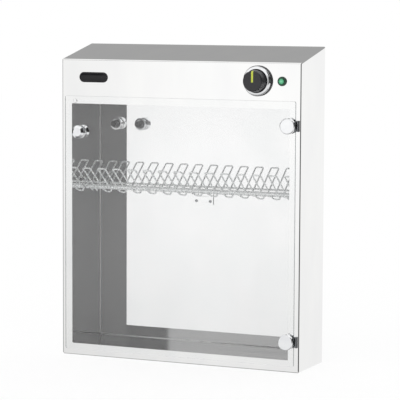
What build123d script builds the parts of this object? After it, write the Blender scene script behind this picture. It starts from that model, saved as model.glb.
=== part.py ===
from build123d import *
import math
import os

# A shallow cabinet that sterilises knives under an ultraviolet tube. All sizes are in millimetres.
# X runs to the right seen from the front, Y from front to back and Z up. The origin is the middle of the base.

# The tube sets the width of the chamber, and the chamber sets the width of the cabinet
LAMP_LENGTH = 437.4
LAMP_END_SPACE = 11.8
LAMP_RADIUS = 12.9
LAMP_BELOW_TOP = 19.0
LAMP_BACK_OF_MIDDLE = 12.0
FRAME_SIDE = 22.0
FRAME_BOTTOM = 23.5
OPENING_HEIGHT = 476.7
LAMP_POCKET = 27.8
CONTROL_STRIP = 86.8
ROOF_RISE = 28.0
BODY_DEPTH = 124.0
SHEET = 1.2
LINER_SHEET = 0.8
BEND = 2.4
OPENING_CORNER = 1.0
FLANGE = 12.0
LINER_FLANGE = 8.0

# Clearances
SLIDE_GAP = 0.3
RUNNING_GAP = 0.05
SEAT_GAP = 0.1

# The door and its butt hinges
PANE = 4.0
PANE_STANDOFF = 1.6
PANE_LAP_SIDE = 12.8
PANE_LAP_TOP = 14.8
PANE_LAP_BOTTOM = 11.0
PANE_CORNER = 3.0
PANE_EDGE = 0.4
LEAF = 0.7
HINGE_FROM_PANE_END = 46.4
HINGE_AXIS_OUT = 4.3
HINGE_AXIS_FORWARD = 2.4
KNUCKLE_RADIUS = 2.2
HINGE_PIN_RADIUS = 0.9
DOOR_KNUCKLE = 9.0
FRAME_KNUCKLE = 5.5
DOOR_LEAF_WIDTH = 25.0
FRAME_LEAF_WIDTH = 16.0
RIVET_SPACING = 15.0
RIVET_SHANK = 1.2
RIVET_HEAD = 2.4
RIVET_HEAD_HEIGHT = 0.5
CAP_FROM_EDGE = 14.3
CAP_RADIUS = 15.1
CAP_HEIGHT = 7.2
CAP_WALL = 1.2
CAP_ROUND = 2.0
CAP_BASE = 2.0
CAP_SCREW_RADIUS = 1.95
CAP_SCREW_HEAD = 3.8
CAP_SCREW_HEAD_HEIGHT = 2.6
LEAF_COLLAR = 3.4
LEAF_COLLAR_HEIGHT = 3.0

# The door knob
KNOB_FROM_EDGE = 40.9
KNOB_FROM_TOP = 69.0
KNOB_RADIUS = 13.0
KNOB_FACE_RADIUS = 9.2
KNOB_CROWN = 4.2
KNOB_CROWN_FULLNESS = 0.62
KNOB_GRIP = 10.5
KNOB_NECK_RADIUS = 8.6
KNOB_NECK_AT = 9.0
KNOB_FOOT_RADIUS = 12.4
KNOB_FOOT = 3.2
KNOB_LENGTH = 28.4
KNOB_STUD_RADIUS = 2.5
KNOB_STUD_DEPTH = 16.0
KNOB_NUT_RADIUS = 6.5
KNOB_NUT_LENGTH = 8.6

# The control strip: timer, pilot lamp, badge and door interlock
CONTROLS_FROM_TOP = 35.0
TIMER_FROM_SIDE = 87.5
PILOT_FROM_SIDE = 38.5
BADGE_FROM_SIDE = 69.5
BADGE_LENGTH = 62.0
BADGE_HEIGHT = 20.0
BADGE_THICKNESS = 0.8
TIMER_SKIRT_RADIUS = 29.0
TIMER_SKIRT = 4.6
TIMER_GRIP_RADIUS = 21.8
TIMER_GRIP_FACE_RADIUS = 19.4
TIMER_KNOB_HEIGHT = 29.8
TIMER_FACE_ROUND = 3.4
TRIM_INNER_RADIUS = 22.6
TRIM_OUTER_RADIUS = 28.0
TRIM_HEIGHT = 4.6
TRIM_EDGE = 2.6
TRIM_SINK = 1.0
POINTER_WIDTH = 4.0
POINTER_LENGTH = 24.0
POINTER_DEPTH = 3.0
SHAFT_RADIUS = 3.0
SHAFT_FLAT = 0.8
SHAFT_REACH = 22.0
TIMER_BODY = 46.0
TIMER_BODY_DEPTH = 25.0
TIMER_REAR = 38.0
TIMER_REAR_DEPTH = 7.0
BUSH_RADIUS = 5.0
BUSH_REACH = 3.2
BUSH_NUT_FLATS = 14.0
BUSH_NUT = 2.4
PILOT_RADIUS = 9.0
PILOT_CENTRE_RADIUS = 6.2
PILOT_HEIGHT = 5.0
PILOT_BODY_RADIUS = 6.0
PILOT_BODY_DEPTH = 26.0
PLUNGER_FROM_OPENING_SIDE = 7.5
PLUNGER_ABOVE_OPENING = 4.8
PLUNGER_RADIUS = 4.0
PLUNGER_STEM_RADIUS = 2.0
PLUNGER_TRAVEL = 3.0
SWITCH_WIDTH = 19.0
SWITCH_HEIGHT = 17.0
SWITCH_DEPTH = 20.0
SWITCH_BRACKET_LEG = 9.0

# The knife rack: one zigzag wire on two rods, sloping down to the back wall
RACK_TEETH = 14
RACK_WIRE_RADIUS = 1.5
RACK_ROD_RADIUS = 2.0
RACK_SIDE_SPACE = 6.4
RACK_SLOPE = 38.3
RACK_LEG = 82.8
RACK_TOP_ABOVE_FLOOR = 346.5
RACK_FROM_BACK_WALL = 24.0
RACK_TOP_BEND = 3.2
RACK_FOOT_BEND = 7.6
RACK_REAR_ROD_AT = 76.0
RACK_FRONT_ROD_AT = 60.0
RACK_END_PLATE = 1.5
RACK_BRACKET = 2.0
RACK_BRACKET_DROP = 26.0
RACK_SCREW_SPACING = 30.0
RACK_SCREW_BELOW_ROD = 19.6
RACK_SCREW_HEAD = 2.9
RACK_SCREW_RADIUS = 1.5

# What stands in the closed space above the chamber
BALLAST_LENGTH = 85.0
BALLAST_WIDTH = 41.0
BALLAST_HEIGHT = 28.0
BALLAST_FOOT = 12.0
BALLAST_FOOT_SHEET = 1.5
BALLAST_FOOT_INSET = 8.0
BALLAST_GROOVE_INSET = 5.0
BALLAST_GROOVE = 1.5
BALLAST_ROUND = 3.0
BALLAST_SCREW_HEAD = 3.8
BALLAST_SCREW_HEAD_HEIGHT = 2.4
BALLAST_X = -45.0
STARTER_RADIUS = 10.75
STARTER_HEIGHT = 36.0
STARTER_X = 45.0
STARTER_BASE = 12.0
STARTER_FOOT_LENGTH = 40.0
STARTER_FOOT_WIDTH = 26.0
STARTER_FOOT = 3.0
TERMINAL_LENGTH = 36.0
TERMINAL_WIDTH = 20.0
TERMINAL_HEIGHT = 15.0
TERMINAL_FROM_SIDE = 52.0
EARTH_FROM_SIDE = 95.0
EARTH_STUD_LENGTH = 12.0
GLAND_RADIUS = 8.0
GLAND_BORE = 4.0
GLAND_FLATS = 22.0
GLAND_ABOVE_TOP = 26.0
WALL_HOLE_RADIUS = 3.5
WALL_HOLE_SPACING = 300.0
WALL_HOLE_FROM_TOP = 40.0
SCREW_RADIUS = 2.0
SCREW_HEAD_RADIUS = 3.1
SCREW_HEAD_HEIGHT = 1.1
SCREW_LENGTH = 8.0
NUT_FLATS = 7.0
NUT_HEIGHT = 3.2

# Places that follow from the sizes above
INNER_WIDTH = LAMP_LENGTH + 2 * LAMP_END_SPACE
BODY_WIDTH = INNER_WIDTH + 2 * FRAME_SIDE
INNER_SIDE = INNER_WIDTH / 2
BODY_SIDE = BODY_WIDTH / 2
FRONT = -BODY_DEPTH / 2
BACK = BODY_DEPTH / 2
PANEL_BACK = FRONT + SHEET
LINER_BACK = BACK - SHEET - LINER_SHEET
OPENING_TOP = FRAME_BOTTOM + OPENING_HEIGHT
FRONT_HEIGHT = OPENING_TOP + CONTROL_STRIP
LINER_TOP = OPENING_TOP + LAMP_POCKET
SHELF = LINER_TOP + LINER_SHEET
ROOF_ANGLE = math.atan2(ROOF_RISE, BODY_DEPTH)
LAMP_Y = LAMP_BACK_OF_MIDDLE
LAMP_Z = LINER_TOP - LAMP_BELOW_TOP
CONTROLS_Z = FRONT_HEIGHT - CONTROLS_FROM_TOP
TIMER_X = BODY_SIDE - TIMER_FROM_SIDE
PILOT_X = BODY_SIDE - PILOT_FROM_SIDE
BADGE_X = BADGE_FROM_SIDE - BODY_SIDE
PLUNGER_X = PLUNGER_FROM_OPENING_SIDE - INNER_SIDE
PLUNGER_Z = OPENING_TOP + PLUNGER_ABOVE_OPENING
PANE_SIDE = INNER_SIDE + PANE_LAP_SIDE
PANE_TOP = OPENING_TOP + PANE_LAP_TOP
PANE_BOTTOM = FRAME_BOTTOM - PANE_LAP_BOTTOM
PANE_INNER = FRONT - PANE_STANDOFF
PANE_OUTER = PANE_INNER - PANE
HINGE_X = PANE_SIDE + HINGE_AXIS_OUT
HINGE_Y = FRONT - HINGE_AXIS_FORWARD
HINGE_HEIGHTS = (PANE_BOTTOM + HINGE_FROM_PANE_END, PANE_TOP - HINGE_FROM_PANE_END)
CAP_X = PANE_SIDE - CAP_FROM_EDGE
KNOB_X = KNOB_FROM_EDGE - PANE_SIDE
KNOB_Z = PANE_TOP - KNOB_FROM_TOP
RIVET_X = HINGE_X - FRAME_LEAF_WIDTH + RIVET_HEAD + 2 * SLIDE_GAP
GLAND_Z = SHELF + GLAND_ABOVE_TOP
GLAND_Y = BODY_DEPTH / 5

# The rack's own plane: across the cabinet, and down its slope towards the back wall
SLOPE = math.radians(RACK_SLOPE)
RACK_STEP = (INNER_WIDTH - 2 * RACK_SIDE_SPACE) / (2 * RACK_TEETH - 1)
RACK_TOP_Y = LINER_BACK - RACK_FROM_BACK_WALL - RACK_LEG * math.cos(SLOPE)
RACK_TOP_Z = FRAME_BOTTOM + RACK_TOP_ABOVE_FLOOR
RACK_PLANE = Plane(
    origin=(0, RACK_TOP_Y, RACK_TOP_Z),
    x_dir=(1, 0, 0),
    z_dir=(0, math.sin(SLOPE), math.cos(SLOPE)),
)
ROD_OFFSET = RACK_WIRE_RADIUS + RACK_ROD_RADIUS + RUNNING_GAP


def rack_place(down, above):
    """The Y and Z of a point at a distance down the rack's slope and above its plane."""
    y = RACK_TOP_Y + down * math.cos(SLOPE) + above * math.sin(SLOPE)
    z = RACK_TOP_Z - down * math.sin(SLOPE) + above * math.cos(SLOPE)
    return y, z


REAR_ROD = rack_place(RACK_REAR_ROD_AT, ROD_OFFSET)
FRONT_ROD = rack_place(RACK_FRONT_ROD_AT, -ROD_OFFSET)
RACK_SCREW_Z = REAR_ROD[1] - RACK_SCREW_BELOW_ROD


def block(x0, x1, y0, y1, z0, z1):
    """A box between two corners."""
    middle = Pos((x0 + x1) / 2, (y0 + y1) / 2, (z0 + z1) / 2)
    return middle * Box(x1 - x0, y1 - y0, z1 - z0)


def facing_front(x, z, y=FRONT):
    """A plane that looks out of the front, with its own X to the right and Y up."""
    return Plane(origin=(x, y, z), x_dir=(1, 0, 0), z_dir=(0, -1, 0))


def facing_back(x, z, y=BACK):
    """A plane that looks out of the back, with its own X to the left."""
    return Plane(origin=(x, y, z), x_dir=(-1, 0, 0), z_dir=(0, 1, 0))


def facing_right(x, y, z):
    """A plane that looks along +X."""
    return Plane(origin=(x, y, z), x_dir=(0, 1, 0), z_dir=(1, 0, 0))


def facing_left(x, y, z):
    """A plane that looks along -X."""
    return Plane(origin=(x, y, z), x_dir=(0, -1, 0), z_dir=(-1, 0, 0))


def facing_up(x, y, z):
    """A plane that looks up."""
    return Plane(origin=(x, y, z))


def disc(seat, radius, height, start=0.0):
    """A cylinder that stands on a plane, from one height above it."""
    return extrude(seat.offset(start) * Circle(radius), height)


def turned(seat, outline):
    """A turned piece: points of radius and height, spun about the plane's normal."""
    drawing = Plane(origin=seat.origin, x_dir=seat.x_dir, z_dir=-seat.y_dir)
    face = make_face(drawing * Polyline(*outline, close=True))
    return revolve(face, Axis(seat.origin, seat.z_dir))


def rims(piece, seat, radius, height):
    """The circular edges of a turned piece at one radius and height."""
    centre = seat.origin + seat.z_dir * height
    circles = piece.edges().filter_by(GeomType.CIRCLE)
    return [e for e in circles if abs(e.radius - radius) < 0.01 and (e.arc_center - centre).length < 0.01]


def hexagon(seat, flats, height, bore, start=0.0):
    """A plain hexagon nut."""
    plane = seat.offset(start)
    nut = extrude(plane * RegularPolygon(flats / 2, 6, major_radius=False), height)
    return nut - disc(seat, bore, height, start)


def pan_screw(seat, head_radius, head_height, shank_radius, length):
    """A screw whose head sits on a plane."""
    outline = [
        (0, -length),
        (shank_radius, -length),
        (shank_radius, 0),
        (head_radius, 0),
        (head_radius, head_height * 0.5),
        (head_radius * 0.7, head_height),
        (0, head_height),
    ]
    return turned(seat, outline)


def flush_screw(seat, extra=0.0):
    """A countersunk screw whose head is flush with a plane, or the hole for it."""
    outline = [
        (0, -SCREW_LENGTH),
        (SCREW_RADIUS + extra, -SCREW_LENGTH),
        (SCREW_RADIUS + extra, -SCREW_HEAD_HEIGHT),
        (SCREW_HEAD_RADIUS + extra, 0),
        (0, 0),
    ]
    return turned(seat, outline)


def roof_height(y):
    """The height of the outside of the roof at one depth."""
    return FRONT_HEIGHT + ROOF_RISE * (y - FRONT) / BODY_DEPTH


def cabinet_prism(inset, y0, y1):
    """The cabinet's outline, drawn in on the base, sides and roof, between two depths."""
    drop = inset / math.cos(ROOF_ANGLE)
    outline = Polyline(
        (y0, inset),
        (y1, inset),
        (y1, roof_height(y1) - drop),
        (y0, roof_height(y0) - drop),
        close=True,
    )
    return extrude(make_face(Plane.YZ * outline), BODY_SIDE - inset, both=True)


def round_long_edges(prism, radius):
    """Rounds the four edges of a cabinet prism that run from front to back."""
    return fillet([e for e in prism.edges() if abs((e @ 1 - e @ 0).Y) > SHEET / 2], radius)


def back_screw_places():
    """Where the back panel's screws stand: X and Z."""
    side = BODY_SIDE - SHEET - FLANGE / 2
    low = SHEET + FLANGE / 2
    high = roof_height(BACK) - low - SHEET
    corners = [(x, z) for x in (-side, side) for z in (low, (low + high) / 2, high)]
    return corners + [(0, low), (0, high)]


def wall_hole_places():
    """Where the two wall screws go through the back panel: X and Z."""
    z = roof_height(BACK) - WALL_HOLE_FROM_TOP
    return [(side * WALL_HOLE_SPACING / 2, z) for side in (-1, 1)]


def rivet_places():
    """Where the frame leaves are riveted to the front: X and Z."""
    offsets = (-RIVET_SPACING / 2, RIVET_SPACING / 2)
    return [(RIVET_X, z + offset) for z in HINGE_HEIGHTS for offset in offsets]


def end_plate_rivet_places():
    """Where each rack end plate is riveted to the side wall: Y and Z."""
    y, z = rack_place(RACK_LEG * 0.45, -ROD_OFFSET)
    return [(y, z), (REAR_ROD[0] + 4 * RACK_ROD_RADIUS, REAR_ROD[1])]


def housing_shell():
    """One folded and welded sheet: front with the door opening, sides, sloping roof, base and rear flange."""
    outer = round_long_edges(cabinet_prism(0, FRONT, BACK), BEND)
    outer = fillet(outer.faces().sort_by(Axis.Y)[0].edges(), BEND)
    inner = round_long_edges(cabinet_prism(SHEET, PANEL_BACK, BACK + SHEET), BEND - SHEET)
    inner = fillet(inner.faces().sort_by(Axis.Y)[0].edges(), BEND - SHEET)
    shell = outer - inner
    start = BACK - 2 * SHEET
    flange = cabinet_prism(SHEET, start, start + SHEET)
    window = cabinet_prism(SHEET + FLANGE, start - SHEET, start + 2 * SHEET)
    shell += (flange - window) & outer
    middle = FRAME_BOTTOM + OPENING_HEIGHT / 2
    opening = RectangleRounded(INNER_WIDTH, OPENING_HEIGHT, OPENING_CORNER)
    shell -= extrude(facing_front(0, middle) * opening, SHEET, both=True)
    holes = [
        (TIMER_X, CONTROLS_Z, BUSH_RADIUS),
        (PILOT_X, CONTROLS_Z, PILOT_BODY_RADIUS),
        (PLUNGER_X, PLUNGER_Z, PLUNGER_RADIUS),
    ]
    holes += [(x, z, RIVET_SHANK) for x, z in rivet_places()]
    for x, z, radius in holes:
        shell -= extrude(facing_front(x, z) * Circle(radius + SEAT_GAP), 2 * SHEET, both=True)
    for x, z in back_screw_places():
        shell -= disc(facing_back(x, z), SCREW_RADIUS + SEAT_GAP, -3 * SHEET)
    gland_seat = facing_left(-BODY_SIDE, GLAND_Y, GLAND_Z)
    return shell - disc(gland_seat, GLAND_RADIUS + SEAT_GAP, -2 * SHEET)


def back_panel():
    """The flat back, set in flush between the sides, with two holes for the wall screws."""
    panel = round_long_edges(cabinet_prism(SHEET + SLIDE_GAP, BACK - SHEET, BACK), BEND - SHEET)
    for x, z in back_screw_places():
        panel -= flush_screw(facing_back(x, z), RUNNING_GAP)
    for x, z in wall_hole_places():
        panel -= disc(facing_front(x, z, BACK), WALL_HOLE_RADIUS, SHEET)
    for side in (-1, 1):
        seat = facing_front(side * RACK_SCREW_SPACING / 2, RACK_SCREW_Z, BACK)
        panel -= disc(seat, RACK_SCREW_RADIUS + RUNNING_GAP, SHEET)
    return panel


def back_panel_screws():
    """The countersunk screws that hold the back panel to the shell's rear flange."""
    return [flush_screw(facing_back(x, z)) for x, z in back_screw_places()]


def chamber_liner():
    """The polished U of sheet inside: left side, back and right side, with a flange behind the front."""
    wall = LINER_SHEET
    low = FRAME_BOTTOM - wall - LINER_FLANGE
    outer = block(-INNER_SIDE - wall, INNER_SIDE + wall, PANEL_BACK, LINER_BACK + wall, low, LINER_TOP)
    reach = INNER_SIDE + wall + LINER_FLANGE
    flange = block(-reach, reach, PANEL_BACK, PANEL_BACK + wall, low, LINER_TOP)
    liner = outer + flange - block(-INNER_SIDE, INNER_SIDE, PANEL_BACK - wall, LINER_BACK, 0, SHELF)
    for x, z in rivet_places():
        liner -= disc(facing_front(x, z, PANEL_BACK), RIVET_SHANK + SEAT_GAP, -2 * wall)
    for side in (-1, 1):
        x = side * RACK_SCREW_SPACING / 2
        liner -= disc(facing_front(x, RACK_SCREW_Z, LINER_BACK), RACK_SCREW_RADIUS + SEAT_GAP, -2 * wall)
        seat = facing_right(side * INNER_SIDE, 0, 0)
        for y, z in end_plate_rivet_places():
            liner -= extrude(seat * Pos(y, z) * Circle(RIVET_SHANK + RUNNING_GAP), 2 * wall, both=True)
    return liner


def chamber_floor():
    """The chamber's floor: a shallow pan of sheet, upside down between the liner's walls."""
    wall = LINER_SHEET
    low = FRAME_BOTTOM - wall - LINER_FLANGE
    tray = block(-INNER_SIDE, INNER_SIDE, PANEL_BACK, LINER_BACK, low, FRAME_BOTTOM)
    hollow = block(
        -INNER_SIDE + wall, INNER_SIDE - wall,
        PANEL_BACK + wall, LINER_BACK - wall,
        low - wall, FRAME_BOTTOM - wall,
    )
    return tray - hollow


def chamber_top():
    """The lid of the chamber, which carries the electrics: a plate turned down outside the liner's walls."""
    wall = LINER_SHEET
    reach = INNER_SIDE + 2 * wall
    lid = block(-reach, reach, PANEL_BACK + wall, LINER_BACK + wall, LINER_TOP - LINER_FLANGE, SHELF)
    under = block(-reach + wall, reach - wall, PANEL_BACK, BACK, LINER_TOP - 2 * LINER_FLANGE, LINER_TOP)
    return lid - under + block(-INNER_SIDE, INNER_SIDE, PANEL_BACK, PANEL_BACK + wall, LINER_TOP, SHELF)


def lamp_reflector():
    """A folded aluminium trough over the tube."""
    flat = LAMP_RADIUS + 6.0
    wing = LAMP_BELOW_TOP - LINER_SHEET
    points = [
        (LAMP_Y - flat - wing, LINER_TOP - wing),
        (LAMP_Y - flat, LINER_TOP),
        (LAMP_Y + flat, LINER_TOP),
        (LAMP_Y + flat + wing, LINER_TOP - wing),
        (LAMP_Y + flat + wing - 1.4 * LINER_SHEET, LINER_TOP - wing),
        (LAMP_Y + flat - 0.4 * LINER_SHEET, LINER_TOP - LINER_SHEET),
        (LAMP_Y - flat + 0.4 * LINER_SHEET, LINER_TOP - LINER_SHEET),
        (LAMP_Y - flat - wing + 1.4 * LINER_SHEET, LINER_TOP - wing),
    ]
    half = LAMP_LENGTH / 2 - SLIDE_GAP
    return extrude(make_face(Plane.YZ * Polyline(*points, close=True)), half, both=True)


CAP_LENGTH = 15.0
CAP_END = 3.0
PIN_LENGTH = 7.1
PIN_RADIUS = 1.175
PIN_SPACING = 12.7


def uv_lamp_tube():
    """The quartz glass tube between its two end caps."""
    half = LAMP_LENGTH / 2 - CAP_END
    seat = facing_right(-half, LAMP_Y, LAMP_Z)
    return disc(seat, LAMP_RADIUS, 2 * half) - disc(seat, LAMP_RADIUS - 1.0, 2 * half)


def lamp_end_caps():
    """The metal caps at the ends of the tube."""
    caps = []
    for seat in (facing_right(LAMP_LENGTH / 2, LAMP_Y, LAMP_Z), facing_left(-LAMP_LENGTH / 2, LAMP_Y, LAMP_Z)):
        outer = LAMP_RADIUS + 0.4
        cup = disc(seat, outer, -CAP_LENGTH) - disc(seat, LAMP_RADIUS + RUNNING_GAP, -CAP_LENGTH, -CAP_END)
        caps.append(fillet(rims(cup, seat, outer, 0), 1.0))
    return caps


def lamp_pins():
    """The two contact pins at each end of the tube."""
    pins = []
    for seat in (facing_right(LAMP_LENGTH / 2, LAMP_Y, LAMP_Z), facing_left(-LAMP_LENGTH / 2, LAMP_Y, LAMP_Z)):
        for across in (-PIN_SPACING / 2, PIN_SPACING / 2):
            pins.append(extrude(seat * Pos(across, 0) * Circle(PIN_RADIUS), PIN_LENGTH))
    return pins


ROTOR_RADIUS = 9.2
ROTOR_DEPTH = 8.6


def lamp_holders():
    """The two sockets that hang from the chamber's top and hold the tube by its pins."""
    holders = []
    thick = LAMP_END_SPACE - 2 * SLIDE_GAP
    body_radius = LAMP_RADIUS - 0.6
    for seat in (facing_right(LAMP_LENGTH / 2, LAMP_Y, LAMP_Z), facing_left(-LAMP_LENGTH / 2, LAMP_Y, LAMP_Z)):
        start = SLIDE_GAP
        body = disc(seat, body_radius, thick, start)
        stem = Pos(0, LAMP_BELOW_TOP / 2) * Rectangle(2 * body_radius, LAMP_BELOW_TOP)
        body += extrude(seat.offset(start) * stem, thick)
        body -= disc(seat, ROTOR_RADIUS + RUNNING_GAP, ROTOR_DEPTH + RUNNING_GAP, start)
        holders.append(body)
    return holders


def lamp_holder_rotors():
    """The discs in the sockets that turn with the pins when the tube is twisted in."""
    rotors = []
    for seat in (facing_right(LAMP_LENGTH / 2, LAMP_Y, LAMP_Z), facing_left(-LAMP_LENGTH / 2, LAMP_Y, LAMP_Z)):
        rotor = disc(seat, ROTOR_RADIUS, ROTOR_DEPTH, SLIDE_GAP)
        for across in (-PIN_SPACING / 2, PIN_SPACING / 2):
            hole = Pos(across, 0) * Circle(PIN_RADIUS + RUNNING_GAP)
            rotor -= extrude(seat * hole, PIN_LENGTH + RUNNING_GAP)
        rotors.append(rotor)
    return rotors


def ballast():
    """The choke: a stack of laminations in a channel with a foot at each end."""
    half = BALLAST_LENGTH / 2
    wide = BALLAST_WIDTH / 2
    core = block(BALLAST_X - half, BALLAST_X + half, -wide, wide, SHELF, SHELF + BALLAST_HEIGHT)
    core = fillet(core.edges().filter_by(Axis.X).group_by(Axis.Z)[-1], BALLAST_ROUND)
    inner = wide - BALLAST_GROOVE_INSET
    top = SHELF + BALLAST_HEIGHT
    core -= block(BALLAST_X - half, BALLAST_X + half, -inner, inner, top - BALLAST_GROOVE, top)
    reach = half + BALLAST_FOOT
    inner = wide - BALLAST_FOOT_INSET
    foot = block(BALLAST_X - reach, BALLAST_X + reach, -inner, inner, SHELF, SHELF + BALLAST_FOOT_SHEET)
    body = core + foot
    for side in (-1, 1):
        x = BALLAST_X + side * (half + BALLAST_FOOT / 2)
        body -= disc(facing_up(x, 0, SHELF), SCREW_RADIUS + SEAT_GAP, BALLAST_FOOT_SHEET)
    return body


def ballast_screws():
    """The screws that hold the choke's feet to the top of the chamber."""
    screws = []
    for side in (-1, 1):
        x = BALLAST_X + side * (BALLAST_LENGTH + BALLAST_FOOT) / 2
        seat = facing_up(x, 0, SHELF + BALLAST_FOOT_SHEET)
        length = BALLAST_FOOT_SHEET
        screws.append(pan_screw(seat, BALLAST_SCREW_HEAD, BALLAST_SCREW_HEAD_HEIGHT, SCREW_RADIUS, length))
    return screws


def starter_holder():
    """The bayonet socket of the starter."""
    seat = facing_up(STARTER_X, 0, SHELF)
    foot = RectangleRounded(STARTER_FOOT_LENGTH, STARTER_FOOT_WIDTH, STARTER_FOOT_WIDTH / 4)
    body = extrude(seat * foot, STARTER_FOOT) + disc(seat, STARTER_RADIUS + 2.5, STARTER_BASE)
    return body - disc(seat, STARTER_RADIUS + SEAT_GAP, STARTER_BASE, 4)


def starter():
    """The starter's can."""
    seat = facing_up(STARTER_X, 0, SHELF + 4)
    can = disc(seat, STARTER_RADIUS, STARTER_HEIGHT)
    return fillet(rims(can, seat, STARTER_RADIUS, STARTER_HEIGHT), 2.0)


def terminal_block():
    """The mains terminals: a stepped block with three clamping screws a side."""
    x = TERMINAL_FROM_SIDE - BODY_SIDE
    half = TERMINAL_LENGTH / 2
    wide = TERMINAL_WIDTH / 2
    low = block(x - half, x + half, GLAND_Y - wide, GLAND_Y + wide, SHELF, SHELF + TERMINAL_HEIGHT * 0.55)
    high = block(x - half, x + half, GLAND_Y - wide / 2, GLAND_Y + wide / 2, SHELF, SHELF + TERMINAL_HEIGHT)
    body = low + high
    for pole in (-1, 0, 1):
        for row in (-1, 1):
            place = facing_up(x + pole * half * 0.66, GLAND_Y + row * wide * 0.72, SHELF + TERMINAL_HEIGHT * 0.55)
            body -= disc(place, 1.8, -3)
    return body


def earth_stud():
    """The welded earth stud on the chamber's top, and its nut."""
    seat = facing_up(EARTH_FROM_SIDE - BODY_SIDE, GLAND_Y, SHELF)
    return [disc(seat, SCREW_RADIUS, EARTH_STUD_LENGTH), hexagon(seat, NUT_FLATS, NUT_HEIGHT, SCREW_RADIUS + RUNNING_GAP, 2.0)]


GLAND_COLLAR = 5.0
GLAND_DOME = 11.0
GLAND_THREAD = 11.0
LOCKNUT = 4.0


def cable_gland():
    """The supply cord's gland on the left side: threaded body, hexagon and dome."""
    seat = facing_left(-BODY_SIDE, GLAND_Y, GLAND_Z)
    dome_radius = GLAND_FLATS / 2 - 1.0
    body = extrude(seat * RegularPolygon(GLAND_FLATS / 2, 6, major_radius=False), GLAND_COLLAR)
    dome = disc(seat, dome_radius, GLAND_DOME, GLAND_COLLAR)
    dome = fillet(rims(dome, seat, dome_radius, GLAND_COLLAR + GLAND_DOME), 4.0)
    body += dome + disc(seat, GLAND_RADIUS, -GLAND_THREAD)
    return body - disc(seat, GLAND_BORE, GLAND_COLLAR + GLAND_DOME + GLAND_THREAD, -GLAND_THREAD)


def gland_locknut():
    """The gland's nut inside the left side wall."""
    seat = facing_left(-BODY_SIDE + SHEET, GLAND_Y, GLAND_Z)
    return hexagon(seat, GLAND_FLATS, LOCKNUT, GLAND_RADIUS + RUNNING_GAP, -LOCKNUT)


def timer_body():
    """The clockwork timer: a square case with a threaded bush in front and blade contacts behind."""
    half = TIMER_BODY / 2
    rear = TIMER_REAR / 2
    end = PANEL_BACK + TIMER_BODY_DEPTH
    body = block(TIMER_X - half, TIMER_X + half, PANEL_BACK, end, CONTROLS_Z - half, CONTROLS_Z + half)
    body = fillet(body.edges().filter_by(Axis.Y), 4.0)
    body += block(
        TIMER_X - rear, TIMER_X + rear, end, end + TIMER_REAR_DEPTH, CONTROLS_Z - rear, CONTROLS_Z + rear
    )
    for x in (-rear / 2, rear / 2):
        for z in (-rear / 2, rear / 2):
            blade_x = TIMER_X + x
            blade_z = CONTROLS_Z + z
            tip = end + TIMER_REAR_DEPTH + 8.0
            body += block(blade_x - 0.4, blade_x + 0.4, end, tip, blade_z - 3.15, blade_z + 3.15)
    seat = facing_front(TIMER_X, CONTROLS_Z)
    body += disc(seat, BUSH_RADIUS, BUSH_REACH + SHEET, -SHEET)
    return body - disc(seat, SHAFT_RADIUS + RUNNING_GAP, BUSH_REACH + SHEET + 6.0, -SHEET - 6.0)


def timer_nut():
    """The nut that clamps the timer's bush to the front, under the knob."""
    return hexagon(facing_front(TIMER_X, CONTROLS_Z), BUSH_NUT_FLATS, BUSH_NUT, BUSH_RADIUS + RUNNING_GAP)


def shaft_section(extra=0.0):
    """The timer shaft's section: round with one flat at the top."""
    flat = SHAFT_RADIUS - SHAFT_FLAT + extra
    cut = Pos(0, flat + SHAFT_RADIUS) * Rectangle(4 * SHAFT_RADIUS, 2 * SHAFT_RADIUS)
    return Circle(SHAFT_RADIUS + extra) - cut


def timer_shaft():
    """The timer's shaft: round in the bush, with a flat where the knob sits."""
    seat = facing_front(TIMER_X, CONTROLS_Z)
    round_part = disc(seat, SHAFT_RADIUS, BUSH_REACH + SHEET + 5.0, -SHEET - 5.0)
    return round_part + extrude(seat.offset(BUSH_REACH) * shaft_section(), SHAFT_REACH - BUSH_REACH)


def pointer_section(extra=0.0):
    """The pointer's outline on the knob's face: a bar from the middle to the top edge."""
    low = -POINTER_WIDTH / 2 - extra
    high = POINTER_LENGTH - POINTER_WIDTH / 2 + extra
    return Pos(0, (low + high) / 2) * Rectangle(POINTER_WIDTH + 2 * extra, high - low)


def knob_form():
    """The knob's outside: a flat skirt and a tapered grip with a rounded face."""
    seat = facing_front(TIMER_X, CONTROLS_Z)
    foot = 2 * SLIDE_GAP
    skirt_top = foot + TIMER_SKIRT
    outline = [
        (0, foot),
        (TIMER_SKIRT_RADIUS, foot),
        (TIMER_SKIRT_RADIUS, skirt_top - 1.0),
        (TIMER_SKIRT_RADIUS - 0.8, skirt_top),
        (TIMER_GRIP_RADIUS, skirt_top),
        (TIMER_GRIP_FACE_RADIUS, TIMER_KNOB_HEIGHT),
        (0, TIMER_KNOB_HEIGHT),
    ]
    form = turned(seat, outline)
    return fillet(rims(form, seat, TIMER_GRIP_FACE_RADIUS, TIMER_KNOB_HEIGHT), TIMER_FACE_ROUND)


def pointer_slot(extra=0.0):
    """The slot for the pointer: from the middle of the face over its rounded edge."""
    face = facing_front(TIMER_X, CONTROLS_Z).offset(TIMER_KNOB_HEIGHT - POINTER_DEPTH)
    return extrude(face * pointer_section(extra), 2 * POINTER_DEPTH)


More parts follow.
